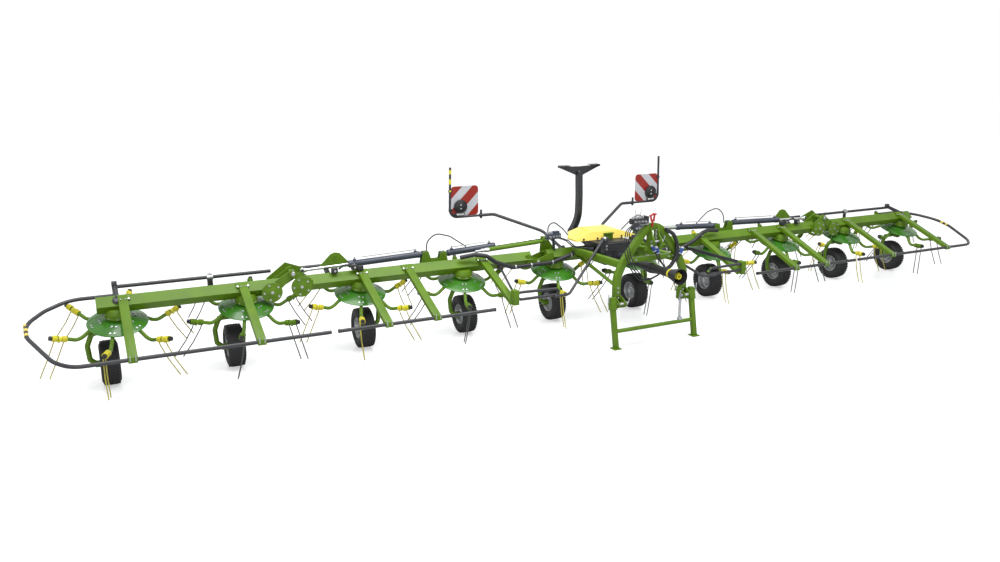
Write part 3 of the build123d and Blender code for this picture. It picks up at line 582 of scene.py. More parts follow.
def six_times(draw, *rest):
    """A mesh with the same drawing at each of the rotor's six arms."""
    part = Draft()
    for index in range(6):
        part.moved(Matrix.Rotation(ARM_PHASE + index * math.tau / 6, 4, "Z"), draw, *rest)
    return part.mesh()


print("rotor shapes ready")

# %% Rotor pieces
DISH = Draft().turned(DISH_ROWS, steps=48).turned(HUB_ROWS).mesh()
ARMS, CAPS, COILS, CLAMPS, ARM_BOLTS = (
    six_times(draw) for draw in (draw_arm, draw_cap, draw_coils, draw_clamp_in_place, draw_arm_bolts)
)
TINES = [six_times(draw_tines, turn) for turn in (-1, 1)]
for number in range(1, 11):
    odd = number % 2
    coil_finish = "bright_yellow" if odd else "green"
    for name, mesh, finish_name, node in (
        ("rotor_dish", DISH, "dish_green", f"rotor_{number}"),
        ("rotor_arms", ARMS, "green", None),
        ("arm_caps", CAPS, "plastic", None),
        ("spring_coils", COILS, coil_finish, None),
        ("coil_clamps", CLAMPS, coil_finish, None),
        ("tines", TINES[odd], "tine_yellow" if odd else "tine_dark", None),
        ("rotor_bolts", ARM_BOLTS, "zinc", None),
    ):
        draft = Draft().copy(mesh, rotor_place(number))
        draft.piece(f"{name}_{number}", f"rotor_{number}", finish_name, node)
print("rotors drawn")

# %% [markdown]
# ## Wheels
# The tyres are small and fat, with a fine block tread. The carcass is one turned outline, and the
# tread is a ring of low blocks in rows, each row turned half a block against its neighbour.

# %% Wheel pieces
TYRE_RADIUS = 0.205
TYRE_HALF = 0.165 / 2
SEAT_RADIUS = 0.1016
WHEEL_BACK = 0.04
# Each wheel: how far it stands from its rotor's middle, and the side its leg is on.
WHEELS = {1: (-0.1, -1), 2: (-0.13, -1), 3: (0.03, 1), 4: (0.04, -1), 5: (0.015, -1),
          6: (0.015, 1), 7: (0.02, 1), 8: (0.035, -1), 9: (-0.06, -1), 10: (-0.085, -1)}
EDGE = TYRE_RADIUS - 0.004
# The tyre's outline from the bead to the tread: the radius, and how far in from the side.
TYRE_ROWS = ((SEAT_RADIUS, 0.022), (SEAT_RADIUS + 0.012, 0.016), (SEAT_RADIUS + 0.03, 0.006),
             (SEAT_RADIUS + 0.055, 0.0005), (EDGE - 0.03, 0.004), (EDGE - 0.012, 0.014),
             (EDGE - 0.002, 0.03), (EDGE, TYRE_HALF - 0.03))
RIM_HALF = TYRE_HALF - 0.02
RIM_ROWS = ((SEAT_RADIUS - 0.004, -RIM_HALF), (SEAT_RADIUS, -RIM_HALF - 0.003),
            (SEAT_RADIUS + 0.004, -RIM_HALF), (SEAT_RADIUS - 0.001, -RIM_HALF + 0.006),
            (SEAT_RADIUS - 0.006, -RIM_HALF + 0.02), (SEAT_RADIUS - 0.014, -0.02),
            (SEAT_RADIUS - 0.03, -0.012), (0.06, -0.004), (0.052, -0.012), (0.05, -0.04),
            (0.034, -0.046), (0.03, -0.058), (0.0135, -0.06))
# The tread's rows of blocks: place across, width, and how much lower than the middle.
TREAD_ROWS = ((-0.058, 0.02, 0.003), (-0.034, 0.019, 0.0), (-0.011, 0.019, 0.0),
              (0.011, 0.019, 0.0), (0.034, 0.019, 0.0), (0.058, 0.02, 0.003))
TREAD_BLOCKS = 40


def tyre_mesh():
    left = [(radius, inset - TYRE_HALF) for radius, inset in TYRE_ROWS]
    right = [(radius, TYRE_HALF - inset) for radius, inset in reversed(TYRE_ROWS)]
    tyre = Draft().turned(left + right, steps=56)
    for row, (z, width, drop) in enumerate(TREAD_ROWS):
        for index in range(TREAD_BLOCKS):
            turn = Matrix.Rotation((index + 0.5 * (row % 2)) * math.tau / TREAD_BLOCKS, 4, "Z")
            tyre.box(turn @ Vector((TYRE_RADIUS - 0.0035 - drop, 0, z)), (0.006, 0.021, width), 0.0, turn)
    return tyre.mesh()


def wheel_bolts_mesh():
    part = Draft()
    for side in (-1, 1):
        angles = [index * math.tau / 5 + 0.3 for index in range(5)]
        places = [(0.07 * math.cos(angle), 0.07 * math.sin(angle), side * 0.01) for angle in angles]
        part.bolts(places, (0, 0, side), 0.01)
        part.rod((0, 0, side * 0.055), (0, 0, side * 0.066), 0.022, 0.016, segments=12)
    return part.mesh()


TYRE = tyre_mesh()
RIM = Draft().turned(RIM_ROWS, steps=40).turned([(radius, -z) for radius, z in RIM_ROWS], steps=40).mesh()
WHEEL_BOLTS = wheel_bolts_mesh()
for number, (offset, leg_side) in WHEELS.items():
    place = Matrix.Translation((rotor_x(number) + offset, WHEEL_BACK, TYRE_RADIUS))
    place = place @ Matrix.Rotation(math.pi / 2, 4, "Y")
    for name, mesh, finish_name, node in (
        ("tyre_tread", TYRE, "rubber", f"tyre_{number}"),
        ("rim_disc", RIM, "rim", f"rim_{number}"),
        ("wheel_bolts", WHEEL_BOLTS, "zinc", None),
    ):
        Draft().copy(mesh, place).piece(f"{name}_{number}", f"wheel_{number}", finish_name, node)
print("wheels drawn")

# %% [markdown]
# ## Gearboxes, columns and wheel legs
# Under the beam hangs a cast gearbox for each rotor, tilted with it. Its flange is bolted, and the
# column below it holds the bent leg of the wheel. The CAD model has the same forms with flat
# sides, so these pieces are turned and drawn a hair larger and cover them.

# %% Gearboxes and legs
COLUMN_DROP = 0.1
LEG_RADIUS = 0.0228
SECTIONS = {"outer_left": (1, 2), "inner_left": (3, 4), "root": (5, 6),
            "inner_right": (7, 8), "outer_right": (9, 10)}
GEARBOX_ROWS = ((0.03, 0.0605), (0.08, 0.0605), (0.094, 0.064), (0.104, 0.066), (0.105, 0.076),
                (0.0965, 0.079), (0.0945, 0.101), (0.088, 0.115), (0.074, 0.138), (0.06, 0.142),
                (0.001, 0.143))
FLANGE_ROWS = ((0.037, -0.086), (0.054, -0.087), (0.056, -0.09), (0.056, -0.11), (0.052, -0.1145),
               (0.001, -0.1145))
AXLE_BOSS_ROWS = ((0.001, 0.0), (0.02, 0.0), (0.028, 0.003), (0.0315, 0.01), (0.0315, 0.062),
                  (0.027, 0.064))


def gearbox_mesh():
    part = Draft().turned(GEARBOX_ROWS, steps=40)
    for index in range(8):
        turn = Matrix.Rotation((index + 0.5) * math.tau / 8, 4, "Z")
        part.box(turn @ Vector((0.094, 0, 0.096)), (0.018, 0.009, 0.034), 0.002, turn)
    return part.turned(FLANGE_ROWS).mesh()


def leg_path(number):
    """The leg's corners, from the column's foot down past the tyre to the hub."""
    offset, side = WHEELS[number]
    x = rotor_x(number)
    foot_y = math.sin(ROTOR_TILT) * COLUMN_DROP
    foot_z = ROTOR_HEIGHT - math.cos(ROTOR_TILT) * COLUMN_DROP + 0.009
    beside = x + offset + side * TYRE_HALF
    return (
        (x, foot_y, foot_z),
        (beside + side * 0.04, foot_y + 0.005, foot_z - 0.004),
        (beside + side * 0.085, WHEEL_BACK, TYRE_RADIUS * 2 - 0.03),
        (beside + side * 0.075, WHEEL_BACK, TYRE_RADIUS + 0.045),
        (beside + side * 0.02, WHEEL_BACK, TYRE_RADIUS),
    )


GEARBOX = gearbox_mesh()
RING = [index * math.tau / 8 for index in range(8)]
RING = [(0.0995 * math.cos(angle), 0.0995 * math.sin(angle), 0.076) for angle in RING]
GEARBOX_BOLTS = Draft().bolts(RING, (0, 0, 1), 0.0075).mesh()
for section, numbers in SECTIONS.items():
    cast, bolts, legs = Draft(), Draft(), Draft()
    for number in numbers:
        offset, side = WHEELS[number]
        end = (rotor_x(number) + offset + side * (TYRE_HALF + 0.04), WHEEL_BACK, TYRE_RADIUS)
        cast.copy(GEARBOX, rotor_place(number))
        bolts.copy(GEARBOX_BOLTS, rotor_place(number)).bolts([end], (side, 0, 0), 0.013)
        legs.tube(leg_path(number), LEG_RADIUS, segments=16)
        legs.turned(AXLE_BOSS_ROWS, end, (-side, 0, 0), steps=20)
    cast.piece(f"gearboxes_{section}", section, "green")
    bolts.piece(f"gearbox_bolts_{section}", section, "zinc")
    legs.piece(f"wheel_legs_{section}", section, "green")
print("gearboxes and legs drawn")

# %% [markdown]
# ## Guard struts
# Each front guard tube is carried by folded sheet struts. A folded channel is stiff because of its
# two turned-down flanges, so it is drawn as a web with flanges, with a plate and two bolts at the
# beam and a clamp with its own bolts round the tube.

# %% Strut channels and clamps
STRUT_TOP = Vector((0, -0.0272, 0.8092))
STRUT_LOW = Vector((0, -0.82, 0.488))
SHORT_LOW = Vector((0, -0.8, 0.505))
STRUT_PLACES = {"outer": (3.945, 4.98), "inner": (2.3, 2.786)}
SHORT_PLACE = 1.46


def draw_strut(part, x, low):
    """A folded channel between the beam and a guard tube, at x."""
    aside = Vector((x, 0, 0))
    way = (low - STRUT_TOP).normalized()
    up = way.cross((1, 0, 0)).normalized()
    start = STRUT_TOP + aside - way * 0.012
    end = low + aside - way * 0.006
    part.beam(start + up * 0.005, end + up * 0.005, 0.078, 0.01, 0.002)
    for side in (-0.036, 0.036):
        edge = Vector((side, 0, 0)) - up * 0.012
        part.beam(start + edge, end + edge, 0.006, 0.036, 0.0015)
    part.box((x, -0.03, 0.8065), (0.12, 0.06, 0.01), 0.002, TURN_45)


def draw_strut_bolts(part, x, low):
    way = (low - STRUT_TOP).normalized()
    up = Vector((0, 0.38, 0.92)).normalized()
    for side in (-0.02, 0.02):
        part.bolts([STRUT_TOP + Vector((x + side, 0, 0)) + way * 0.055 + up * 0.01], up, 0.011)
        part.bolts([(x + side * 2.4, -0.046, 0.795)], (0, -1, 1), 0.01)


def draw_tube_clamp(part, x):
    """Two bent bolts round the guard tube."""
    for place in (x - 0.022, x + 0.022):
        part.tube(((place, -0.845, 0.512), (place, -0.8425, 0.455), (place, -0.7975, 0.455),
                   (place, -0.795, 0.512)), 0.0045, bend=0.022, segments=8)
        part.bolts([(place, -0.845, 0.505)], (0, -0.1, 1), 0.007)


for side_name, side in SIDES:
    for section, places in STRUT_PLACES.items():
        struts, bolts = Draft(side), Draft(side)
        for x in places:
            draw_strut(struts, x, STRUT_LOW)
            struts.box((x, -0.82, 0.475), (0.074, 0.05, 0.05), 0.004)
            draw_strut_bolts(bolts, x, STRUT_LOW)
            draw_tube_clamp(bolts, x)
        if section == "inner":
            draw_strut(struts, SHORT_PLACE, SHORT_LOW)
            struts.box((SHORT_PLACE, -0.801, 0.569), (0.06, 0.086, 0.148), 0.006)
            draw_strut_bolts(bolts, SHORT_PLACE, SHORT_LOW)
        body = f"{section}_{side_name}"
        struts.piece(f"guard_struts_{body}", body, "green")
        bolts.piece(f"strut_bolts_{body}", body, "zinc")
print("struts drawn")

# %% [markdown]
# ## Guard tubes
# A round steel tube runs along the whole front and turns back round each end, so that nobody
# walks into the tines. The corners are wide bends. On the wing's end the tube is marked with
# yellow bands over the black paint, which are drawn as thin sleeves.

# %% Guard tubes
GUARD_RADIUS = 0.0175
GUARD_Y = -0.82
GUARD_Z = 0.475
REAR_Y = 0.22
REAR_Z = 0.852
END_LOOP = ((3.33, GUARD_Y, GUARD_Z), (5.43, GUARD_Y, GUARD_Z), (5.56, -0.7, 0.504), (5.745, -0.27, 0.61),
            (5.755, -0.05, 0.664), (5.61, 0.15, 0.713), (5.41, 0.31, 0.75), (5, 0.31, 0.75))
# Where the bands begin and end along Y, on the loop's run between its fourth and fifth corner.
BAND_PLACES = ((-0.255, -0.215), (-0.175, -0.135), (-0.095, -0.06))
GUARD_BOSS_ROWS = ((0.001, 0.014), (0.022, 0.014), (0.024, 0.012), (0.024, 0.006), (0.034, 0.005),
                   (0.036, 0.003), (0.036, 0.0))


def straight(part, start, end):
    """A straight length of guard tube."""
    return part.tube((start, end), GUARD_RADIUS, segments=16)


for side_name, side in SIDES:
    outer, inner = f"outer_{side_name}", f"inner_{side_name}"
    part = Draft(side).tube(END_LOOP, GUARD_RADIUS, 0.3, 16, 8)
    straight(part, (5.03, 0.312, 0.75), (5.03, 0.07, 0.756))
    straight(part, (5.04, REAR_Y, REAR_Z), (3.63, REAR_Y, REAR_Z))
    part.beam((5.03, -0.04, 0.8005), (5.03, 0.225, 0.868), 0.048, 0.014)
    part.beam((5.03, -0.04, 0.8035), (5.03, 0.225, 0.871), 0.014, 0.046)
    part.turned(GUARD_BOSS_ROWS, (5.03, -0.042, 0.7905), (0, -1, 1), 24)
    part.beam((5.03, 0.212, 0.842), (5.03, 0.218, 0.905), 0.046, 0.046, 0.004)
    part.beam((4.2, REAR_Y, 0.741), (4.2, REAR_Y, 0.848), 0.052, 0.012)
    part.beam((4.2, 0.06, 0.747), (4.2, 0.226, 0.747), 0.052, 0.012)
    part.piece(f"guard_tubes_{outer}", outer, "black", f"guard_{outer}")
    bands = Draft(side)
    before, after = Vector(END_LOOP[3]), Vector(END_LOOP[4])
    for places in BAND_PLACES:
        shares = [(y - before.y) / (after.y - before.y) for y in places]
        bands.rod(*[before.lerp(after, share) for share in shares], GUARD_RADIUS + 0.0012, segments=20)
    bands.piece(f"guard_bands_{side_name}", outer, "yellow")
    clamp = Draft(side).rod((4.172, REAR_Y, REAR_Z), (4.228, REAR_Y, REAR_Z), 0.025)
    clamp.box((4.2, REAR_Y, REAR_Z + 0.024), (0.046, 0.026, 0.018), 0.003)
    clamp.bolts([(4.2, REAR_Y, REAR_Z + 0.033)], (0, 0, 1), 0.009)
    clamp.piece(f"rear_tube_clamp_{side_name}", outer, "zinc")
    part = straight(Draft(side), (1.69, GUARD_Y, GUARD_Z), (3.26, GUARD_Y, GUARD_Z))
    straight(part, (3.36, REAR_Y, REAR_Z), (3.06, REAR_Y, REAR_Z))
    part.beam((3.09, REAR_Y, REAR_Z - 0.008), (3.09, 0.078, 0.77), 0.052, 0.012)
    part.piece(f"guard_tubes_{inner}", inner, "black", f"guard_{inner}")
    caps = Draft(side)
    for x, way in ((1.69, -1), (3.26, 1)):
        caps.rod((x - way * 0.004, GUARD_Y, GUARD_Z), (x + way * 0.006, GUARD_Y, GUARD_Z), 0.0195)
    caps.piece(f"guard_caps_{inner}", inner, "plastic")
print("guard tubes drawn")

# %% [markdown]
# In the middle a double loop on the wing's short strut overlaps a tube that belongs to the centre.
# They aren't joined, because the wing folds away between them, so each rides on its own body.

# %% Guards in the middle
LOOP_LOW = 0.543
LOOP_HIGH = 0.615
LOOP_TUBE = 0.0148
WING_LOOP = (
    (1.46, -0.82, LOOP_HIGH - 0.008), (1.4, -0.82, LOOP_HIGH + 0.002), (0.995, -0.82, LOOP_HIGH - 0.008),
    (0.965, -0.82, 0.575), (0.995, -0.82, LOOP_LOW), (1.4, -0.82, LOOP_LOW), (1.46, -0.82, LOOP_LOW + 0.018),
)
tubes, bolts = Draft(), Draft()
for side_name, side in SIDES:
    tubes.side = bolts.side = side
    tubes.tube(((0.23, -0.486, 0.983), (0.86, -0.848, 0.54), (1.04, -0.86, 0.54)), LOOP_TUBE, 0.09, 14)
    tubes.box((0.199, -0.476, 0.919), (0.099, 0.0135, 0.17), 0.003)
    tubes.box((0.158, -0.471, 0.87), (0.018, 0.024, 0.072), 0.002)
    bolts.bolts([(0.175, -0.483, 0.87), (0.175, -0.483, 0.905)], (0, -1, 0), 0.011)
    bolts.rod((0.224, -0.5, 0.988), (0.206, -0.49, 1), 0.02, segments=14)
    loop = Draft(side).tube(WING_LOOP, LOOP_TUBE, 0.035, 14)
    loop.piece(f"guard_loop_{side_name}", f"inner_{side_name}", "black")
tubes.piece("centre_guard_tubes", "root", "black", "guard_centre")
bolts.piece("centre_guard_bolts", "root", "zinc")
print("middle guards drawn")

# %% [markdown]
# ## Fold cylinders
# A hydraulic cylinder is a drawn tube with a welded base, a screwed gland where the chromed rod
# comes out, and two ports. Turning one outline gives the tube, its shoulders and the gland in one
# piece. The two eyes are short turned sleeves across the pins.

# %% Cylinders
CYLINDER_Y = 0.118
UP = Vector((0, 0, 1))
# Each cylinder: its foot and its rod's eye (x, z), the barrel's length and the rod's length in it.
CYLINDERS = {
    "outer": ((2.05, 0.89), (3.345, 0.846), 0.83, 0.34),
    "inner": ((1.85, 0.87), (0.64, 0.93), 0.62, 0.07),
}
FIRST_PORT = 0.105
PORT_FROM_END = 0.07


def draw_eye(part, centre, radius):
    part.turned(bush(0.0142, radius, 0.02, 0.003, 0.003), centre, (0, 1, 0), 28)


for side_name, side in SIDES:
    for kind, ((x0, z0), (x1, z1), length, reach) in CYLINDERS.items():
        name = f"{kind}_{side_name}"
        start, end = Vector((x0, CYLINDER_Y, z0)), Vector((x1, CYLINDER_Y, z1))
        way = (end - start).normalized()
        port_places = (FIRST_PORT, length - PORT_FROM_END)
        rows = (
            (0.001, 0.052), (0.026, 0.053), (0.034, 0.058), (0.0355, 0.064), (0.0355, 0.082),
            (0.0335, 0.085), (0.0335, length - 0.048), (0.035, length - 0.046),
            (0.0375, length - 0.044), (0.0375, length - 0.01), (0.035, length - 0.004),
            (0.025, length), (0.017, length + 0.001), (0.0165, length - 0.02),
        )
        barrel = Draft(side).turned(rows, start, way).rod(start + way * 0.02, start + way * 0.06, 0.021)
        draw_eye(barrel, start, 0.0305)
        for place in port_places:
            barrel.box(start + way * place + UP * 0.036, (0.03, 0.026, 0.02), 0.003)
        barrel.piece(f"cylinder_{name}", f"barrel_{name}", "slate", f"barrel_{name}")
        rod = Draft(side).rod(start + way * (length - reach), end - way * 0.024, 0.016, segments=24)
        draw_eye(rod, end, 0.0285)
        rod.rod(end - way * 0.045, end - way * 0.022, 0.02, 0.024, segments=20)
        rod.piece(f"piston_rod_{name}", f"rod_{name}", "chrome", f"rod_{name}")
        ports = Draft(side)
        for place in port_places:
            ports.fitting(start + way * place + UP * 0.046, UP, 0.01, 0.012, 0.01, 0.0075)
        low, high = (start + way * place + UP * 0.06 for place in port_places)
        aside = Vector((0, -0.012, 0))
        ports.tube((low, low + aside + way * 0.03, high + aside - way * 0.06), 0.0052, 0.02, 8)
        ports.piece(f"cylinder_ports_{name}", f"barrel_{name}", "zinc")
print("cylinders drawn")

# %% [markdown]
# ## Hood and drive
# The hood is a moulded cover with a long pointed end on each side. It is sawn out of one block,
# as a model maker would: one cut for each flank, two for the slopes to the tips, and one for the
# slope to the front. Every edge is then rounded, because a moulding has no sharp ones.

# %% Hood
HOOD_LOW = 0.924
HOOD_HIGH = 1.03
HOOD_OUTLINE = ((-0.3, 0.13), (-0.402, -0.03), (-0.398, -0.215), (0.398, -0.215), (0.402, -0.03),
                (0.3, 0.13))

hood = Draft().box((0, -0.04, (HOOD_LOW + HOOD_HIGH) / 2), (0.8, 0.36, HOOD_HIGH - HOOD_LOW))
for (x0, y0), (x1, y1) in zip(HOOD_OUTLINE, HOOD_OUTLINE[1:] + HOOD_OUTLINE[:1]):
    flank = Vector((y1 - y0, x0 - x1, 0)).normalized()
    if flank.dot(Vector((x0, y0 + 0.04, 0))) < 0:
        flank.negate()
    cut(hood.bm, (x0, y0, HOOD_LOW), flank + Vector((0, 0, 0.1)))
for side in (-1, 1):
    cut(hood.bm, (side * 0.13, 0, HOOD_HIGH), (side * 0.315, 0, 0.949))
cut(hood.bm, (0, -0.213, 0.93), (0, -0.94, 0.342))
cut(hood.bm, (0, 0.005, HOOD_HIGH), (0, -0.11, 0.994))
cut(hood.bm, (0, 0.06, HOOD_HIGH), (0, 0.2, 0.98))
round_edges(hood.bm, hood.bm.edges[:], 0.005, 3)
hood.piece("hood_cover", "root", "yellow", "hood", smooth=30.0)
cover = Draft().box((0, -0.33, 0.912), (0.44, 0.24, 0.018), 0.004)
cover.box((0, -0.39, 0.924), (0.18, 0.06, 0.012), 0.004)
for x in (-0.3, -0.12, 0.2):
    cover.box((x, -0.2165, 0.915), (0.024, 0.01, 0.024), 0.003)
    cover.rod((x, -0.222, 0.94), (x, -0.21, 0.944), 0.01, segments=14)
cover.piece("housing_cover", "root", "plastic", "hood")
catch = Draft().box((0.01, -0.228, 0.958), (0.12, 0.016, 0.08), 0.004)
catch.box((0.01, -0.236, 0.992), (0.135, 0.03, 0.012), 0.003)
catch.bolts([(-0.025, -0.236, 0.955), (0.045, -0.236, 0.955)], (0, -1, 0), 0.009)
catch.piece("hood_catch", "root", "green")
print("hood drawn")

# %% [markdown]
# The drive shaft to the tractor is guarded along its whole length. Two telescoping plastic tubes
# cover the shafts, and a bellows-like cone covers the joint at the free end, with the yellow fork
# of the joint showing in its mouth. All of it is turned work about one axis.

# %% Drive shaft
SHAFT_Z = 0.775
SHAFT_START = (0, -0.56, SHAFT_Z)
FRONT = (0, -1, 0)
SHAFT_ROWS = (
    (0.001, 0.0), (0.05, 0.0), (0.062, 0.01), (0.063, 0.1), (0.058, 0.112), (0.06, 0.12), (0.054, 0.128),
    (0.056, 0.136), (0.045, 0.146), (0.0435, 0.15), (0.0435, 0.48), (0.047, 0.482), (0.047, 0.5),
    (0.041, 0.504), (0.041, 0.7), (0.0435, 0.704), (0.0435, 0.835),
)
CONE_MOUTH = ((0.081, 0.972), (0.0815, 0.98), (0.0785, 0.98), (0.075, 0.95), (0.062, 0.9), (0.044, 0.862),
              (0.04, 0.86))
SHAFT_COLLAR = ((0.0445, 0.806), (0.049, 0.808), (0.049, 0.824), (0.0445, 0.826))
FORK_ROWS = ((0.0176, 0.89), (0.0176, 0.958), (0.027, 0.958), (0.03, 0.954), (0.03, 0.93), (0.034, 0.926),
             (0.034, 0.915), (0.029, 0.91), (0.029, 0.88), (0.02, 0.87))
HOUSING_RING = ((0.046, 0.0), (0.072, 0.0), (0.074, 0.003), (0.074, 0.014), (0.046, 0.016))

cone = [(0.046, 0.828), (0.05, 0.834)]
for index in range(6):
    place, radius = 0.84 + index * 0.0215, 0.05 + index * 0.0052
    cone += [(radius, place), (radius + 0.0035, place + 0.006), (radius + 0.0035, place + 0.013),
             (radius + 0.0015, place + 0.018)]
guard = Draft().turned(SHAFT_ROWS, SHAFT_START, FRONT)
guard.turned((*cone, *CONE_MOUTH), SHAFT_START, FRONT, 36)
guard.piece("shaft_guard", "root", "plastic", "pto_shaft")
joint = Draft().turned(SHAFT_COLLAR, SHAFT_START, FRONT).turned(FORK_ROWS, SHAFT_START, FRONT, 28)
for side in (-1, 1):
    joint.box((side * 0.031, -1.445, SHAFT_Z), (0.014, 0.06, 0.04), 0.004)
joint.box((0, -1.498, SHAFT_Z + 0.033), (0.018, 0.018, 0.012), 0.003)
joint.piece("shaft_joint", "root", "bright_yellow")
ribs = Draft()
for index in range(6):
    turn = Matrix.Rotation(index * math.tau / 6, 4, "Y")
    place = Vector((0, -0.468, SHAFT_Z)) + turn @ Vector((0.06, 0, 0))
    ribs.box(place, (0.02, 0.018, 0.02), 0.003, turn)
ribs.turned(HOUSING_RING, (0, -0.461, SHAFT_Z), FRONT)
ribs.box((0, -0.24, 0.7), (0.348, 0.43, 0.024), 0.006)
for z in (0.735, 0.79, 0.845):
    ribs.box((0, -0.461, z), (0.3, 0.008, 0.012), 0.002)
    for side in (-1, 1):
        ribs.box((side * 0.1715, -0.25, z), (0.008, 0.38, 0.012), 0.002)
ribs.piece("drive_housing_ribs", "root", "black")
print("drive shaft drawn")

# %% [markdown]
# ## Headstock
# The arch is one length of box section, bent to shape: from each foot it rises, leans in at the
# shoulder and runs up to the mast. It is drawn that way, as a four-cornered tube along a rounded
# path. Straight members and braces take the load back to the beam, and plates carry the pins.

# %% Headstock
POST_X = 0.42
POST_Y = -1.045
HITCH_Y = -1.13
HITCH_Z = 0.45
TOP_PIN_Z = 1.06
MAST_X = 0.045
EAR_PLACES = (0.3745, 0.4505)
STAND_FOOT = Vector((0.5, -1.19, 0.005))
STAND_WAY = Vector((0, 0.1, 0.515))
ARCH = ((-POST_X, POST_Y, 0.39), (-POST_X, POST_Y, 0.706), (-0.348, POST_Y, 0.862), (-0.072, POST_Y, 1.206),
        (0.072, POST_Y, 1.206), (0.348, POST_Y, 0.862), (POST_X, POST_Y, 0.706), (POST_X, POST_Y, 0.39))
ARCH_WIDTH = 0.072
ARCH_DEPTH = 0.06
EAR = ((-1.015, 0.39), (-1.015, 0.52), (-1.07, 0.52), (-1.165, 0.4675), (-1.165, 0.4325), (-1.1475, 0.415),
       (-1.07, 0.39))
MAST_BACK = ((-1.017, 1.23), (-1.073, 1.23), (-1.115, 1.125), (-1.118, 0.998), (-1.073, 0.985),
             (-1.017, 0.985))
MAST_NOSE = ((-1.105, 1.137), (-1.152, 1.082), (-1.158, 1.06), (-1.152, 1.04), (-1.134, 1.015),
             (-1.09, 0.993), (-1.06, 1.06), (-1.07, 1.125))
BRACE = (Vector((POST_X, POST_Y + 0.02, 0.62)), Vector((0.29, -0.03, 0.749)))


def arch_mesh():
    """A rectangular section pulled along the arch, which lies in a plane across Y."""
    part = Draft().tube(ARCH, ARCH_WIDTH / math.sqrt(2), 0.2, segments=4, steps=8, twist=math.pi / 4)
    for vert in part.bm.verts:
        vert.co.y = POST_Y + (vert.co.y - POST_Y) * ARCH_DEPTH / ARCH_WIDTH
    corners = [edge for edge in part.bm.edges if len(edge.link_faces) == 2 and edge.calc_face_angle() > 1.0]
    round_edges(part.bm, corners, 0.006)
    return part.mesh()


def side_plate(part, outline, x_low, thick):
    """A plate across X with a convex outline of (y, z)."""
    part.plate(outline, thick, Matrix.Translation((x_low, 0, 0)) @ ACROSS_X)


head = Draft().copy(arch_mesh(), Matrix.Identity(4))
head.beam((-0.342, POST_Y, 0.875), (0.342, POST_Y, 0.875), 0.056, 0.05, 0.006, (0, 1, 0))
for side in (-1, 1):
    head.side = side
    head.beam((0.364, POST_Y + 0.01, 0.834), (0.33, -0.02, 0.796), 0.06, 0.076, 0.007)
    head.rod(*BRACE, 0.019, segments=20)
    for shares in ((0.005, 0.035), (0.955, 0.985)):
        head.rod(*[BRACE[0].lerp(BRACE[1], share) for share in shares], 0.0225, segments=20)
    side_plate(head, MAST_BACK, side * MAST_X - 0.007, 0.014)
    side_plate(head, MAST_NOSE, side * MAST_X - 0.0068, 0.0136)
    for x in EAR_PLACES:
        side_plate(head, EAR, side * x - 0.005, 0.01)
        head.turned(bush(0.0143, 0.028, 0.0065, 0.001, 0.0015), (x, HITCH_Y, HITCH_Z), (side, 0, 0), 28)
    head.turned(bush(0.013, 0.031, 0.009, 0.001, 0.002), (MAST_X, -1.12, TOP_PIN_Z), (side, 0, 0), 28)
    head.box((0.4125, -1.065, 0.455), (0.084, 0.02, 0.128), 0.003)
    head.box((0.4705, -1.055, 0.455), (0.03, 0.05, 0.07), 0.004)
    head.beam(STAND_FOOT + STAND_WAY * 0.76, STAND_FOOT + STAND_WAY * 0.97, 0.066, 0.066, 0.004)
    for share in (0.755, 0.965):
        start = STAND_FOOT + STAND_WAY * share
        head.beam(start, start + STAND_WAY * 0.01, 0.072, 0.072, 0.002)
head.piece("headstock_frame", "root", "green", "headstock", smooth=35.0)
print("headstock drawn")

# %% Hitch pins, bolts and handles
FORK_X = 0.4125


def draw_grip(part, x, y, z, reach, back, rise):
    """A bent wire handle on a pin's end."""
    path = ((x, y, z), (x + reach[0], y, z), (x + reach[1], y - back, z + rise))
    part.tube(path, 0.005, 0.012, 10)


pins = Draft().rod((-0.066, -1.12, TOP_PIN_Z), (0.066, -1.12, TOP_PIN_Z), 0.0124, segments=20)
pins.rod((0.066, -1.12, TOP_PIN_Z), (0.074, -1.12, TOP_PIN_Z), 0.019, segments=20)
draw_grip(pins, 0.072, -1.12, TOP_PIN_Z, (0.018, 0.022), 0.015, 0.055)
for side in (-1, 1):
    pins.side = side
    inner = FORK_X - 0.062
    pins.rod((inner, HITCH_Y, HITCH_Z), (FORK_X + 0.052, HITCH_Y, HITCH_Z), 0.0139, segments=20)
    pins.rod((inner, HITCH_Y, HITCH_Z), (inner - 0.01, HITCH_Y, HITCH_Z), 0.02, segments=20)
    draw_grip(pins, inner - 0.004, HITCH_Y, HITCH_Z, (-0.018, -0.02), 0.02, 0.062)
    pins.tube(((0.474, -1.11, 0.475), (0.552, -1.11, 0.475), (0.556, -1.116, 0.56)), 0.006, 0.014, 10)
    pins.bolts([(FORK_X, -1.0765, 0.5), (FORK_X, -1.0765, 0.41)], FRONT, 0.009)
    pins.bolts([(x, POST_Y - 0.028, 0.876) for x in (0.205, 0.265)], FRONT, 0.01)
    pins.bolts([(POST_X, POST_Y - 0.03, z) for z in (0.56, 0.604)], FRONT, 0.009)
pins.piece("hitch_pins", "root", "zinc")
print("hitch pins drawn")

# %% Chain between the mast's plates
LINKS = 9
LINK_PITCH = 0.0225
LINK_BEND = 0.0085
LINK_HALF = 0.01


def link_mesh():
    """One chain link: a wire round two half circles, open by the width of its weld."""
    path = []
    for degrees in range(-80, 281, 40):
        angle = math.radians(degrees)
        middle = LINK_HALF if math.sin(angle) > 0 else -LINK_HALF
        path.append((LINK_BEND * math.cos(angle), 0, middle + LINK_BEND * math.sin(angle)))
    return Draft().tube(path, 0.0028, 0.003, 8, 2).mesh()


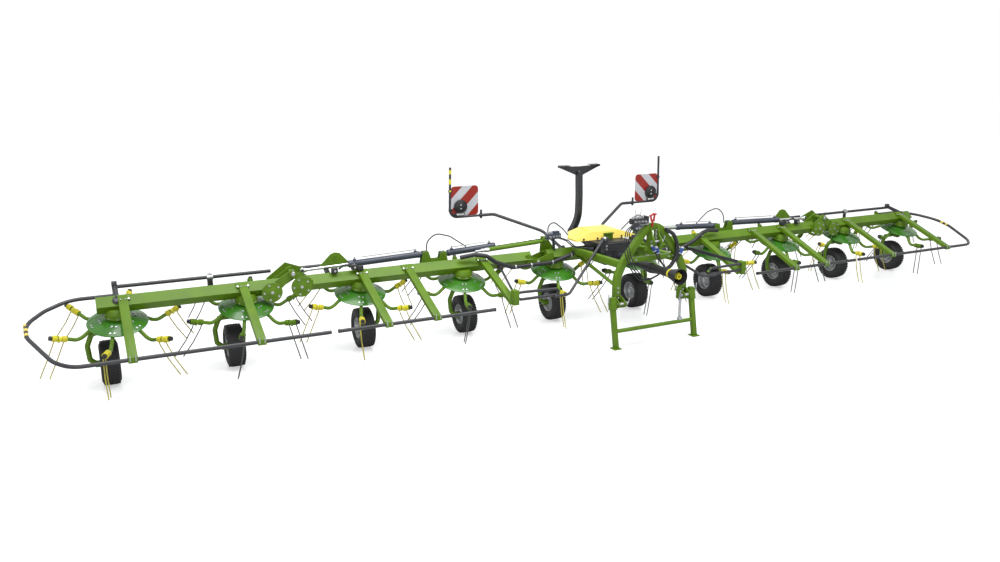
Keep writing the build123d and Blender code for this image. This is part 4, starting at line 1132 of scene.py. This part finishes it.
LINK = link_mesh()
chain = Draft()
for index in range(LINKS):
    place = Matrix.Translation((0.03, -1.072, 1.18 - index * LINK_PITCH))
    chain.copy(LINK, place @ Matrix.Rotation(math.pi / 2 * (index % 2), 4, "Z"))
chain.piece("mast_chain", "root", "zinc")
print("chain drawn")

# %% [markdown]
# ## Parking stand
# Two square legs with foot plates hold the front of the machine when it stands by itself. The
# tubes have rounded corners, which catch the light along their whole length.

# %% Stand
stand = Draft().rod((-0.5, -1.1563, 0.175), (0.5, -1.1563, 0.175), 0.0205, segments=24)
for side in (-1, 1):
    stand.side = side
    stand.beam(STAND_FOOT, STAND_FOOT + STAND_WAY, 0.0502, 0.0502, 0.006)
    stand.box(STAND_FOOT, (0.09, 0.09, 0.01), 0.002)
    for dx, dy in ((-0.018, 0), (0.018, 0), (0, -0.022), (0, 0.022)):
        start = STAND_FOOT + Vector((dx * 1.6, dy * 1.6, 0.004))
        end = STAND_FOOT + Vector((dx * 1.3, dy * 1.3 + 0.004, 0.03))
        stand.beam(start, end, 0.006, 0.006, 0.001)
stand.piece("parking_stand", "stand", "green", "stand")
print("stand drawn")

# %% [markdown]
# ## Rest for the folded wings
# Behind the hood a curved square column carries a fork of folded sheet. The column is one square
# section pulled along its bend, which keeps its four faces flat and its corners in line.

# %% Transport rest
COLUMN_PATH = ((0, 0.4, 1.61), (0, 0.386, 1.33), (0, 0.392, 1.11), (0, 0.45, 0.99), (0, 0.545, 0.885))
FORK = ((0.0, 1.672), (0.15, 1.677), (0.258, 1.677), (0.258, 1.668), (0.04, 1.572), (0.0, 1.572))

rest = Draft().tube(COLUMN_PATH, 0.0445, 0.8, segments=4, steps=10, twist=math.pi / 4)
rest.beam((0, 0.56, 0.894), (0, 0.06, 0.795), 0.092, 0.052, 0.005)
for side in (-1, 1):
    rest.side = side
    rest.front_plate(FORK, 0.407, 0.012, 0.001)
    rest.box((0.2, 0.4005, 1.6865), (0.124, 0.086, 0.0065), 0.002)
    rest.box((0.262, 0.4005, 1.676), (0.006, 0.08, 0.024), 0.002)
    rest.beam((0.04, 0.4, 1.5755), (0.256, 0.4, 1.6665), 0.04, 0.006, 0.001, (0, 1, 0))
rest.piece("wing_rest", "root", "black", "transport_rest")
bolts = Draft().bolts([(-0.018, 0.394, 1.592), (0.018, 0.394, 1.592), (0, 0.394, 1.612)], FRONT, 0.008)
bolts.bolts([(0.032, 0.385, 1.32)], (1, 0, 0), 0.008).piece("wing_rest_bolts", "root", "zinc")
print("rest drawn")

# %% [markdown]
# ## Warning boards
# The boards are sheet metal with rounded corners and slanting red and white stripes. The stripes
# are a material: a saw-tooth of the Object coordinates, switched at about one half. A bent arm
# carries each board, and a thinner tube runs on along its lower edge and stands up beside it.

# %% Board stripes
STRIPE_PERIOD = 0.27
STRIPE_START = 2.498
STRIPE_RED = 0.53
STRIPE_TONE = (0.3, 0.014, 0.006, 1.0)


def stripe_finish(name, slope):
    """Red and white slanting stripes across X and Z, on a smooth sheet."""
    material = finish(name, (0.56, 0.57, 0.60), (0.50, 0.51, 0.54), 0.34, coat=0.2)
    tree = material.node_tree
    base = tree.nodes["Principled BSDF"].inputs["Base Color"]
    white = base.links[0].from_socket
    place = add_node(tree, "TexCoord").outputs["Object"]
    parts = add_node(tree, "SeparateXYZ", {0: place}).outputs
    value = parts["X"]
    for operation, inputs in (
        ("MULTIPLY_ADD", {1: slope, 2: parts["Z"]}),
        ("SUBTRACT", {1: STRIPE_START}),
        ("DIVIDE", {1: STRIPE_PERIOD}),
        ("FRACT", {}),
        ("GREATER_THAN", {1: STRIPE_RED}),
    ):
        value = add_node(tree, "Math", {0: value, **inputs}, operation=operation).outputs[0]
    mix = add_node(tree, "Mix", {"Factor": value, "A": STRIPE_TONE, "B": white}, data_type="RGBA")
    tree.links.new(mix.outputs["Result"], base)
    return material


for side_name, side in SIDES:
    FINISHES[f"stripes_{side_name}"] = stripe_finish(f"board stripes {side_name}", side)
print(len(FINISHES), "finishes with the stripes")

# %% Boards, arms and lamps
BOARD_X = 1.27
BOARD_Y = 0.818
BOARD_Z = 1.3
BOARD_HALF = 0.17
RAIL_Z = BOARD_Z - BOARD_HALF - 0.014
EDGE_X = BOARD_X + BOARD_HALF + 0.02
MARKER_X = EDGE_X - 0.014
MARKER_TOP = 1.688
MARKER_BANDS = ((1.412, 1.43), (1.499, 1.556), (1.614, 1.66))
SHEET = 0.0045
ARM_PATH = ((0.41, 0.05, 0.797), (0.41, 0.52, 0.925), (0.9, BOARD_Y, RAIL_Z), (1.062, BOARD_Y, RAIL_Z))
MARKER_PATH = ((1.045, BOARD_Y, RAIL_Z), (EDGE_X, BOARD_Y, RAIL_Z), (MARKER_X, BOARD_Y, MARKER_TOP))
LAMP_ROWS = ((0.07, 0.0), (0.078, 0.005), (0.08, 0.022), (0.077, 0.03), (0.07, 0.033), (0.064, 0.028),
             (0.06, 0.032), (0.03, 0.037), (0.001, 0.038))

arms, lamps, glass, clamps = Draft(), Draft(), Draft(), Draft()
for side_name, side in SIDES:
    arms.side = lamps.side = glass.side = clamps.side = side
    board = Draft(side).box((BOARD_X, BOARD_Y, BOARD_Z), (2 * BOARD_HALF, SHEET, 2 * BOARD_HALF))
    corners = [edge for edge in board.bm.edges if abs(edge.verts[0].co.y - edge.verts[1].co.y) > SHEET / 2]
    round_edges(board.bm, corners, 0.038, 6)
    replaced = "warning_boards" if side_name == "left" else None
    board.piece(f"striped_board_{side_name}", "root", f"stripes_{side_name}", replaced)
    arms.tube(ARM_PATH, 0.0185, 0.11, 16, 8).tube(MARKER_PATH, 0.0135, 0.09, 14, 8)
    arms.box((0.41, 0.064, 0.8), (0.07, 0.04, 0.06), 0.004, TURN_45.inverted())
    for z in (BOARD_Z - 0.1, BOARD_Z + 0.12):
        clamps.box((EDGE_X - 0.012, BOARD_Y, z), (0.05, 0.01, 0.026), 0.002)
        clamps.bolts([(EDGE_X - 0.03, BOARD_Y - 0.005, z)], FRONT, 0.007)
    clamps.rod((1.05, BOARD_Y, RAIL_Z), (1.082, BOARD_Y, RAIL_Z), 0.021, segments=14)
    clamps.box((1.066, BOARD_Y - 0.004, RAIL_Z + 0.016), (0.026, 0.014, 0.104), 0.004)
    lamp = (BOARD_X + 0.06, BOARD_Y - 0.002, BOARD_Z - 0.062)
    lamps.turned(LAMP_ROWS, lamp, FRONT, 40)
    face = along(lamps.at(lamp), FRONT)
    for x in (-0.02, 0.022):
        ends = [face @ Vector((x, 0.004, height)) for height in (0.036, 0.039)]
        glass.rod(*[glass.at(end) for end in ends], 0.008, segments=14)
    lamps.box((BOARD_X + 0.082, BOARD_Y - 0.012, BOARD_Z - 0.152), (0.15, 0.018, 0.026), 0.008)
    glass.box((BOARD_X + 0.066, BOARD_Y - 0.022, BOARD_Z - 0.15), (0.092, 0.01, 0.022), 0.005)
arms.piece("board_tubes", "root", "black", "board_arms")
lamps.piece("board_lamps", "root", "plastic")
glass.piece("board_reflectors", "root", "lens")
clamps.piece("board_clamps", "root", "black")
bands = Draft(-1)
rod_low, rod_high = Vector((EDGE_X, BOARD_Y, RAIL_Z)), Vector((MARKER_X, BOARD_Y, MARKER_TOP))
for places in MARKER_BANDS:
    shares = [(z - RAIL_Z) / (MARKER_TOP - RAIL_Z) for z in places]
    bands.rod(*[rod_low.lerp(rod_high, share) for share in shares], 0.0146, segments=18)
bands.piece("marker_bands", "root", "bright_yellow")
print("boards drawn")

# %% [markdown]
# ## Hydraulics
# Oil reaches the fold cylinders through rubber hoses. A valve block on the mast shares it out, a
# thick sleeve gathers the hoses along the front of the beam, and a loop of hose stands over each
# cylinder. The sleeve is parted at the hinge's axis, where the two ends stay together in a fold.

# %% Link tubes beside the inner cylinders
TUBE_DROP = -0.016
CYLINDER_LOW = Vector((0.64, 0, 0.93))
CYLINDER_WAY = (Vector((1.85, 0, 0.87)) - CYLINDER_LOW).normalized()
for (side_name, side), tube_y in zip(SIDES, (0.05, 0.188)):
    start = CYLINDER_LOW + Vector((0, tube_y, TUBE_DROP))
    points = [start + CYLINDER_WAY * place for place in (0.03, 0.095, 0.7, 0.79, 0.86)]
    middle = points[2].lerp(points[3], 0.5)
    tube = Draft(side).rod(points[1], points[2], 0.024, segments=24)
    tube.rod(points[0], points[1], 0.015, 0.022, segments=20)
    tube.rod((0.64, tube_y - 0.016, 0.93), (0.64, tube_y + 0.016, 0.93), 0.026, segments=20)
    fitting = Draft(side).rod(points[2], middle, 0.0265, segments=6)
    fitting.rod(middle, points[3], 0.021, segments=20).rod(points[3], points[4], 0.014)
    fitting.rod((0.64, min(tube_y, 0.1) - 0.022, 0.93), (0.64, max(tube_y, 0.136) + 0.022, 0.93), 0.012)
    tube.piece(f"link_tube_{side_name}", f"rod_inner_{side_name}", "green")
    fitting.piece(f"link_fittings_{side_name}", f"rod_inner_{side_name}", "zinc")
print("link tubes drawn")

# %% Hose sleeves along the beam and hose loops over the cylinders
HOSE = 0.0068
SLEEVE_ROOT = ((0.185, -0.25, 0.835), (0.3, -0.115, 0.8), (0.404, -0.114, 0.762), (0.634, -0.114, 0.7),
               (0.8, -0.114, 0.698))
SLEEVE_WING = ((0.8, -0.114, 0.698), (1.13, -0.114, 0.694), (1.33, -0.114, 0.77), (1.44, -0.108, 0.85),
               (1.56, -0.072, 0.868), (1.72, -0.06, 0.85))
CYLINDER_LOOP = ((2.01, 0.16, 0.885), (2.006, 0.178, 1), (1.9, 0.18, 1.084), (1.74, 0.174, 1.04),
                 (1.56, 0.15, 0.915))
HINGE_LOOP = ((0.645, -0.015, 1.02), (0.636, -0.01, 1.095), (0.56, 0.0, 1.128), (0.44, 0.01, 1.04),
              (0.36, 0.03, 0.96))


def draw_ties(part, places, radius):
    for x, z in places:
        part.rod((x - 0.006, -0.114, z), (x + 0.006, -0.114, z), radius, segments=20)
    return part


for side_name, side in SIDES:
    wing = f"inner_{side_name}"
    Draft(side).tube(SLEEVE_ROOT, 0.024, 0.14, 16).piece(f"hose_sleeve_root_{side_name}", "root", "hose")
    Draft(side).tube(SLEEVE_WING, 0.023, 0.09, 16).piece(f"hose_sleeve_wing_{side_name}", wing, "hose")
    ties = draw_ties(Draft(side), ((0.404, 0.762), (0.64, 0.701)), 0.0262)
    ties.piece(f"sleeve_ties_root_{side_name}", "root", "zinc")
    ties = draw_ties(Draft(side), ((0.905, 0.696), (1.1, 0.696)), 0.0256)
    ties.piece(f"sleeve_ties_wing_{side_name}", wing, "zinc")
    Draft(side).tube(CYLINDER_LOOP, HOSE, 0.12, 10).piece(f"hose_loop_{side_name}", f"barrel_{wing}", "hose")
    hoses = Draft(side).tube(HINGE_LOOP, HOSE, 0.07, 10)
    for back in (0.0, 0.028):
        path = ((0.54 - back, -0.055, 0.955), (0.47 - back, -0.11, 0.93), (0.4 - back, -0.15, 0.86),
                (0.25 - back, -0.225, 0.84))
        hoses.tube(path, HOSE, 0.06, 10)
    hoses.piece(f"hinge_hoses_{side_name}", "root", "hose")
    block = Draft(side).box((0.575, -0.015, 0.972), (0.17, 0.066, 0.062), 0.005)
    block.box((0.54, -0.015, 1.012), (0.07, 0.048, 0.03), 0.004)
    block.beam((0.56, -0.01, 0.812), (0.57, -0.012, 0.95), 0.05, 0.01, 0.002, (0, 1, 0))
    block.piece(f"lock_valve_{side_name}", "root", "slate")
    fittings = Draft(side)
    for x in (0.515, 0.555, 0.595, 0.635):
        fittings.fitting((x, -0.048, 0.972), FRONT, 0.016, 0.014)
    for x in (0.59, 0.618, 0.645):
        fittings.fitting((x, -0.015, 1.002), UP, 0.012, 0.014)
    fittings.piece(f"lock_valve_fittings_{side_name}", "root", "zinc")
print("sleeves and lock valves drawn")

# %% Hinge bosses and flanges
HINGES = (("inner", "root", 0.8, 0.71), ("outer", "inner", 3.48, 0.872))
FLANGES = (("outer", 3.685, 0.712, 0.098, -0.079), ("inner", 3.405, 0.738, 0.1, -0.0885))
HINGE_BOSS_ROWS = ((0.0205, 0.0), (0.034, 0.0), (0.035, 0.001), (0.035, 0.004), (0.033, 0.006),
                   (0.0205, 0.006))
STUDS = [math.radians(20 + 72 * index) for index in range(5)]


def draw_hinge(bosses, pins, x, z):
    """A boss and the end of its pin on both faces of a hinge."""
    for way in (-1, 1):
        face = Vector((x, way * 0.0885, z))
        low, middle, high = (face + Vector((0, way * reach, 0)) for reach in (-0.004, 0.012, 0.015))
        bosses.turned(HINGE_BOSS_ROWS, face, (0, way, 0), 28)
        pins.rod(low, middle, 0.0195, segments=24).rod(middle, high, 0.0195, 0.016, segments=24)
        stud = along(bosses.at(face), (0, way, 0)) @ Vector((0.026, 0, 0.006))
        pins.bolts([pins.at(stud)], (0, way, 0), 0.006)


for side_name, side in SIDES:
    for hinge, carrier, x, z in HINGES:
        body = carrier if carrier == "root" else f"{carrier}_{side_name}"
        bosses, pins = Draft(side), Draft(side)
        draw_hinge(bosses, pins, x, z)
        bosses.piece(f"{hinge}_hinge_bosses_{side_name}", body, "green")
        pins.piece(f"{hinge}_hinge_pins_{side_name}", body, "zinc")
    for section, x, z, radius, front in FLANGES:
        body = f"{section}_{side_name}"
        rows = ((0.001, 0.0), (radius - 0.004, 0.0), (radius, 0.004), (radius, 0.009),
                (radius - 0.004, 0.0125), (0.052, 0.0125), (0.044, 0.0165), (0.001, 0.0165))
        disc, studs = Draft(side).turned(rows, (x, front, z), FRONT, 40), Draft(side)
        face = along(disc.at((x, front, z)), FRONT)
        ring = [face @ Vector((0.074 * math.cos(angle), 0.074 * math.sin(angle), 0.0125)) for angle in STUDS]
        studs.bolts([studs.at(place) for place in ring], FRONT, 0.009)
        studs.bolts([(x, front - 0.0165, z)], FRONT, 0.013)
        disc.piece(f"hinge_flange_{body}", body, "green")
        studs.piece(f"hinge_flange_bolts_{body}", body, "zinc")
print("hinges drawn")

# %% Eye plates, hose clamps and flat bars on the inner wings
EYE_PLATE = ((3.19, 0.826), (3.04, 0.97), (2.995, 0.985), (2.945, 0.974), (2.86, 0.88), (2.85, 0.826))
SHORT_HOSE = ((3.02, -0.04, 0.86), (2.96, -0.06, 0.905), (2.89, -0.05, 0.88))
BAR_TOP = Vector((1.245, -0.066, 0.676))
BAR_FOOT = Vector((1.468, -0.775, 0.618))
for side_name, side in SIDES:
    wing = f"inner_{side_name}"
    eye = Draft(side).front_plate(EYE_PLATE, 0.177, 0.012, 0.002)
    eye.turned(bush(0.012, 0.025, 0.009, 0.001, 0.001), (3, 0.171, 0.935), (0, 1, 0), 24)
    for x in (3.12, 2.92):
        eye.box((x, 0.19, 0.852), (0.05, 0.03, 0.026), 0.003)
    eye.piece(f"eye_plate_{side_name}", wing, "green")
    holders = Draft(side).tube(SHORT_HOSE, 0.009, 0.03, 10)
    for x, z in ((3.06, 0.846), (2.86, 0.862), (2.8, 0.846)):
        holders.box((x, -0.03, z), (0.06, 0.05, 0.05), 0.006)
    holders.piece(f"hose_clamps_{side_name}", wing, "plastic")
    screws = Draft(side)
    for x, z in ((3.06, 0.871), (2.86, 0.887)):
        screws.bolts([(x, -0.03, z)], UP, 0.01).bolts([(x, -0.055, z - 0.025)], FRONT, 0.01)
    screws.piece(f"hose_clamp_screws_{side_name}", wing, "zinc")
    bar = Draft(side).beam(BAR_TOP, BAR_FOOT, 0.038, 0.01, 0.002, UP)
    bar.box(BAR_TOP + Vector((0, 0.024, 0.016)), (0.06, 0.05, 0.03), 0.003, TURN_45.inverted())
    bar.piece(f"guard_bar_{side_name}", wing, "black")
print("fittings on the inner wings drawn")

# %% Valve block on the mast
VALVE_Z = 1.272
block = Draft().box((-0.175, POST_Y, VALVE_Z), (0.19, 0.07, 0.056), 0.005)
block.box((-0.09, POST_Y, 1.285), (0.03, 0.08, 0.07), 0.004).piece("valve_block", "root", "plastic")
fittings = Draft().beam((-0.11, POST_Y, 1.238), (-0.06, POST_Y, 1.238), 0.06, 0.01, 0.002, (0, 1, 0))
for x in (-0.245, -0.205, -0.165, -0.125):
    fittings.fitting((x, -1.08, VALVE_Z), FRONT, 0.018, 0.014)
    fittings.rod((x, POST_Y, 1.3), (x, POST_Y, 1.322), 0.014, segments=12)
for x, tip in ((-0.205, (-0.235, -1.06, 1.398)), (-0.165, (-0.155, -1.06, 1.393))):
    fittings.rod((x, POST_Y, 1.32), tip, 0.0035, segments=8)
fittings.piece("valve_fittings", "root", "zinc")
handles = Draft()
for x, z, lean in ((-0.055, 1.3, -0.25), (-0.015, 1.31, 0.15), (-0.035, 1.245, 0.05)):
    turn = Matrix.Rotation(lean, 4, "Y")
    handles.box((x, -1.088, z), (0.018, 0.016, 0.075), 0.005, turn)
    handles.box((x, -1.092, z + 0.03), (0.05, 0.014, 0.018), 0.005, turn)
handles.piece("valve_handles", "root", "red")
print("valve block drawn")

# %% Hoses on the headstock and parked couplings
BUNDLE = ((0.13, -1.094, 1.17), (0.235, -1.098, 1.115), (0.284, -1.1, 1.006), (0.282, -1.1, 0.87),
          (0.22, -1.095, 0.775), (0.11, -1.075, 0.712), (0.1, -0.9, 0.69), (0.12, -0.6, 0.715),
          (0.12, -0.462, 0.74))
# Each parked coupling: its middle (x, z), its lean, and where its hose joins the others.
COUPLINGS = ((-0.03, 0.985, 0.5, (0.15, -1.11, 0.745)), (0.02, 0.96, 0.4, (0.15, -1.11, 0.745)),
             (0.325, 0.925, -0.4, (0.262, -1.11, 0.83)))
RACK = ((-0.12, 0.965), (-0.12, 1.01), (0.11, 1.01), (0.11, 0.965))

hoses = Draft()
for index in range(3):
    start, aside = 0.04 * index, 0.024 * index
    front, low = -aside / 2, aside / 2
    path = (
        (start - 0.245, -1.11, 1.272), (start - 0.29, -1.13, 1.266), (aside - 0.376, -1.115, 1.205),
        (aside - 0.389, -1.112, 1.06), (aside - 0.366, front - 1.108, 0.94),
        (aside - 0.3, front - 1.108, 0.8), (aside - 0.195, front - 1.108, low + 0.672),
        (-0.05, front - 1.1, low + 0.652),
        (0.07, front - 1.09, low + 0.69), (0.13, -1.08, 0.73),
    )
    hoses.tube(path, 0.0055, 0.08, 10)
hoses.piece("valve_hoses", "root", "hose")
Draft().tube(BUNDLE, 0.021, 0.12, 16).piece("hose_bundle", "root", "hose")
couplings, hoses, collars = Draft(), Draft(), Draft()
for x, z, lean, end in COUPLINGS:
    way = Vector((math.sin(lean), 0, -math.cos(lean)))
    start = Vector((x, -1.12, z))
    couplings.rod(start - way * 0.035, start + way * 0.025, 0.019, segments=20)
    hoses.rod(start + way * 0.025, start + way * 0.045, 0.014)
    hoses.tube((start + way * 0.045, start + way * 0.11, end), 0.0065, segments=10)
    collars.rod(start - way * 0.05, start - way * 0.035, 0.015, segments=20)
    collars.rod(start + way * 0.02, start + way * 0.027, 0.0195, segments=20)
couplings.piece("parked_couplings", "root", "blue")
hoses.piece("coupling_hoses", "root", "hose")
collars.piece("coupling_collars", "root", "lens")
Draft().front_plate(RACK, -1.08, 0.008, 0.0015).piece("coupling_rack", "root", "green")
stay = Draft().beam((0.352, -1.113, 0.44), (0.33, -1.14, 0.215), 0.034, 0.008, 0.002)
stay.box((0.328, -1.152, 0.2), (0.05, 0.03, 0.04), 0.004).piece("stand_stay", "root", "zinc")
print("headstock hoses drawn")

# %% [markdown]
# ## What stays from the CAD model
# The sections of the beam and the drive housing have their real shapes already, so they only need
# their finishes.

# %% Paint the CAD nodes that stay
for name, node in nodes.items():
    if name.startswith("frame_") or name == "drive_housing":
        finish_name = "green" if name.startswith("frame_") else "black"
        node.data.materials.clear()
        node.data.materials.append(FINISHES[finish_name])
        print(name, "is", finish_name)
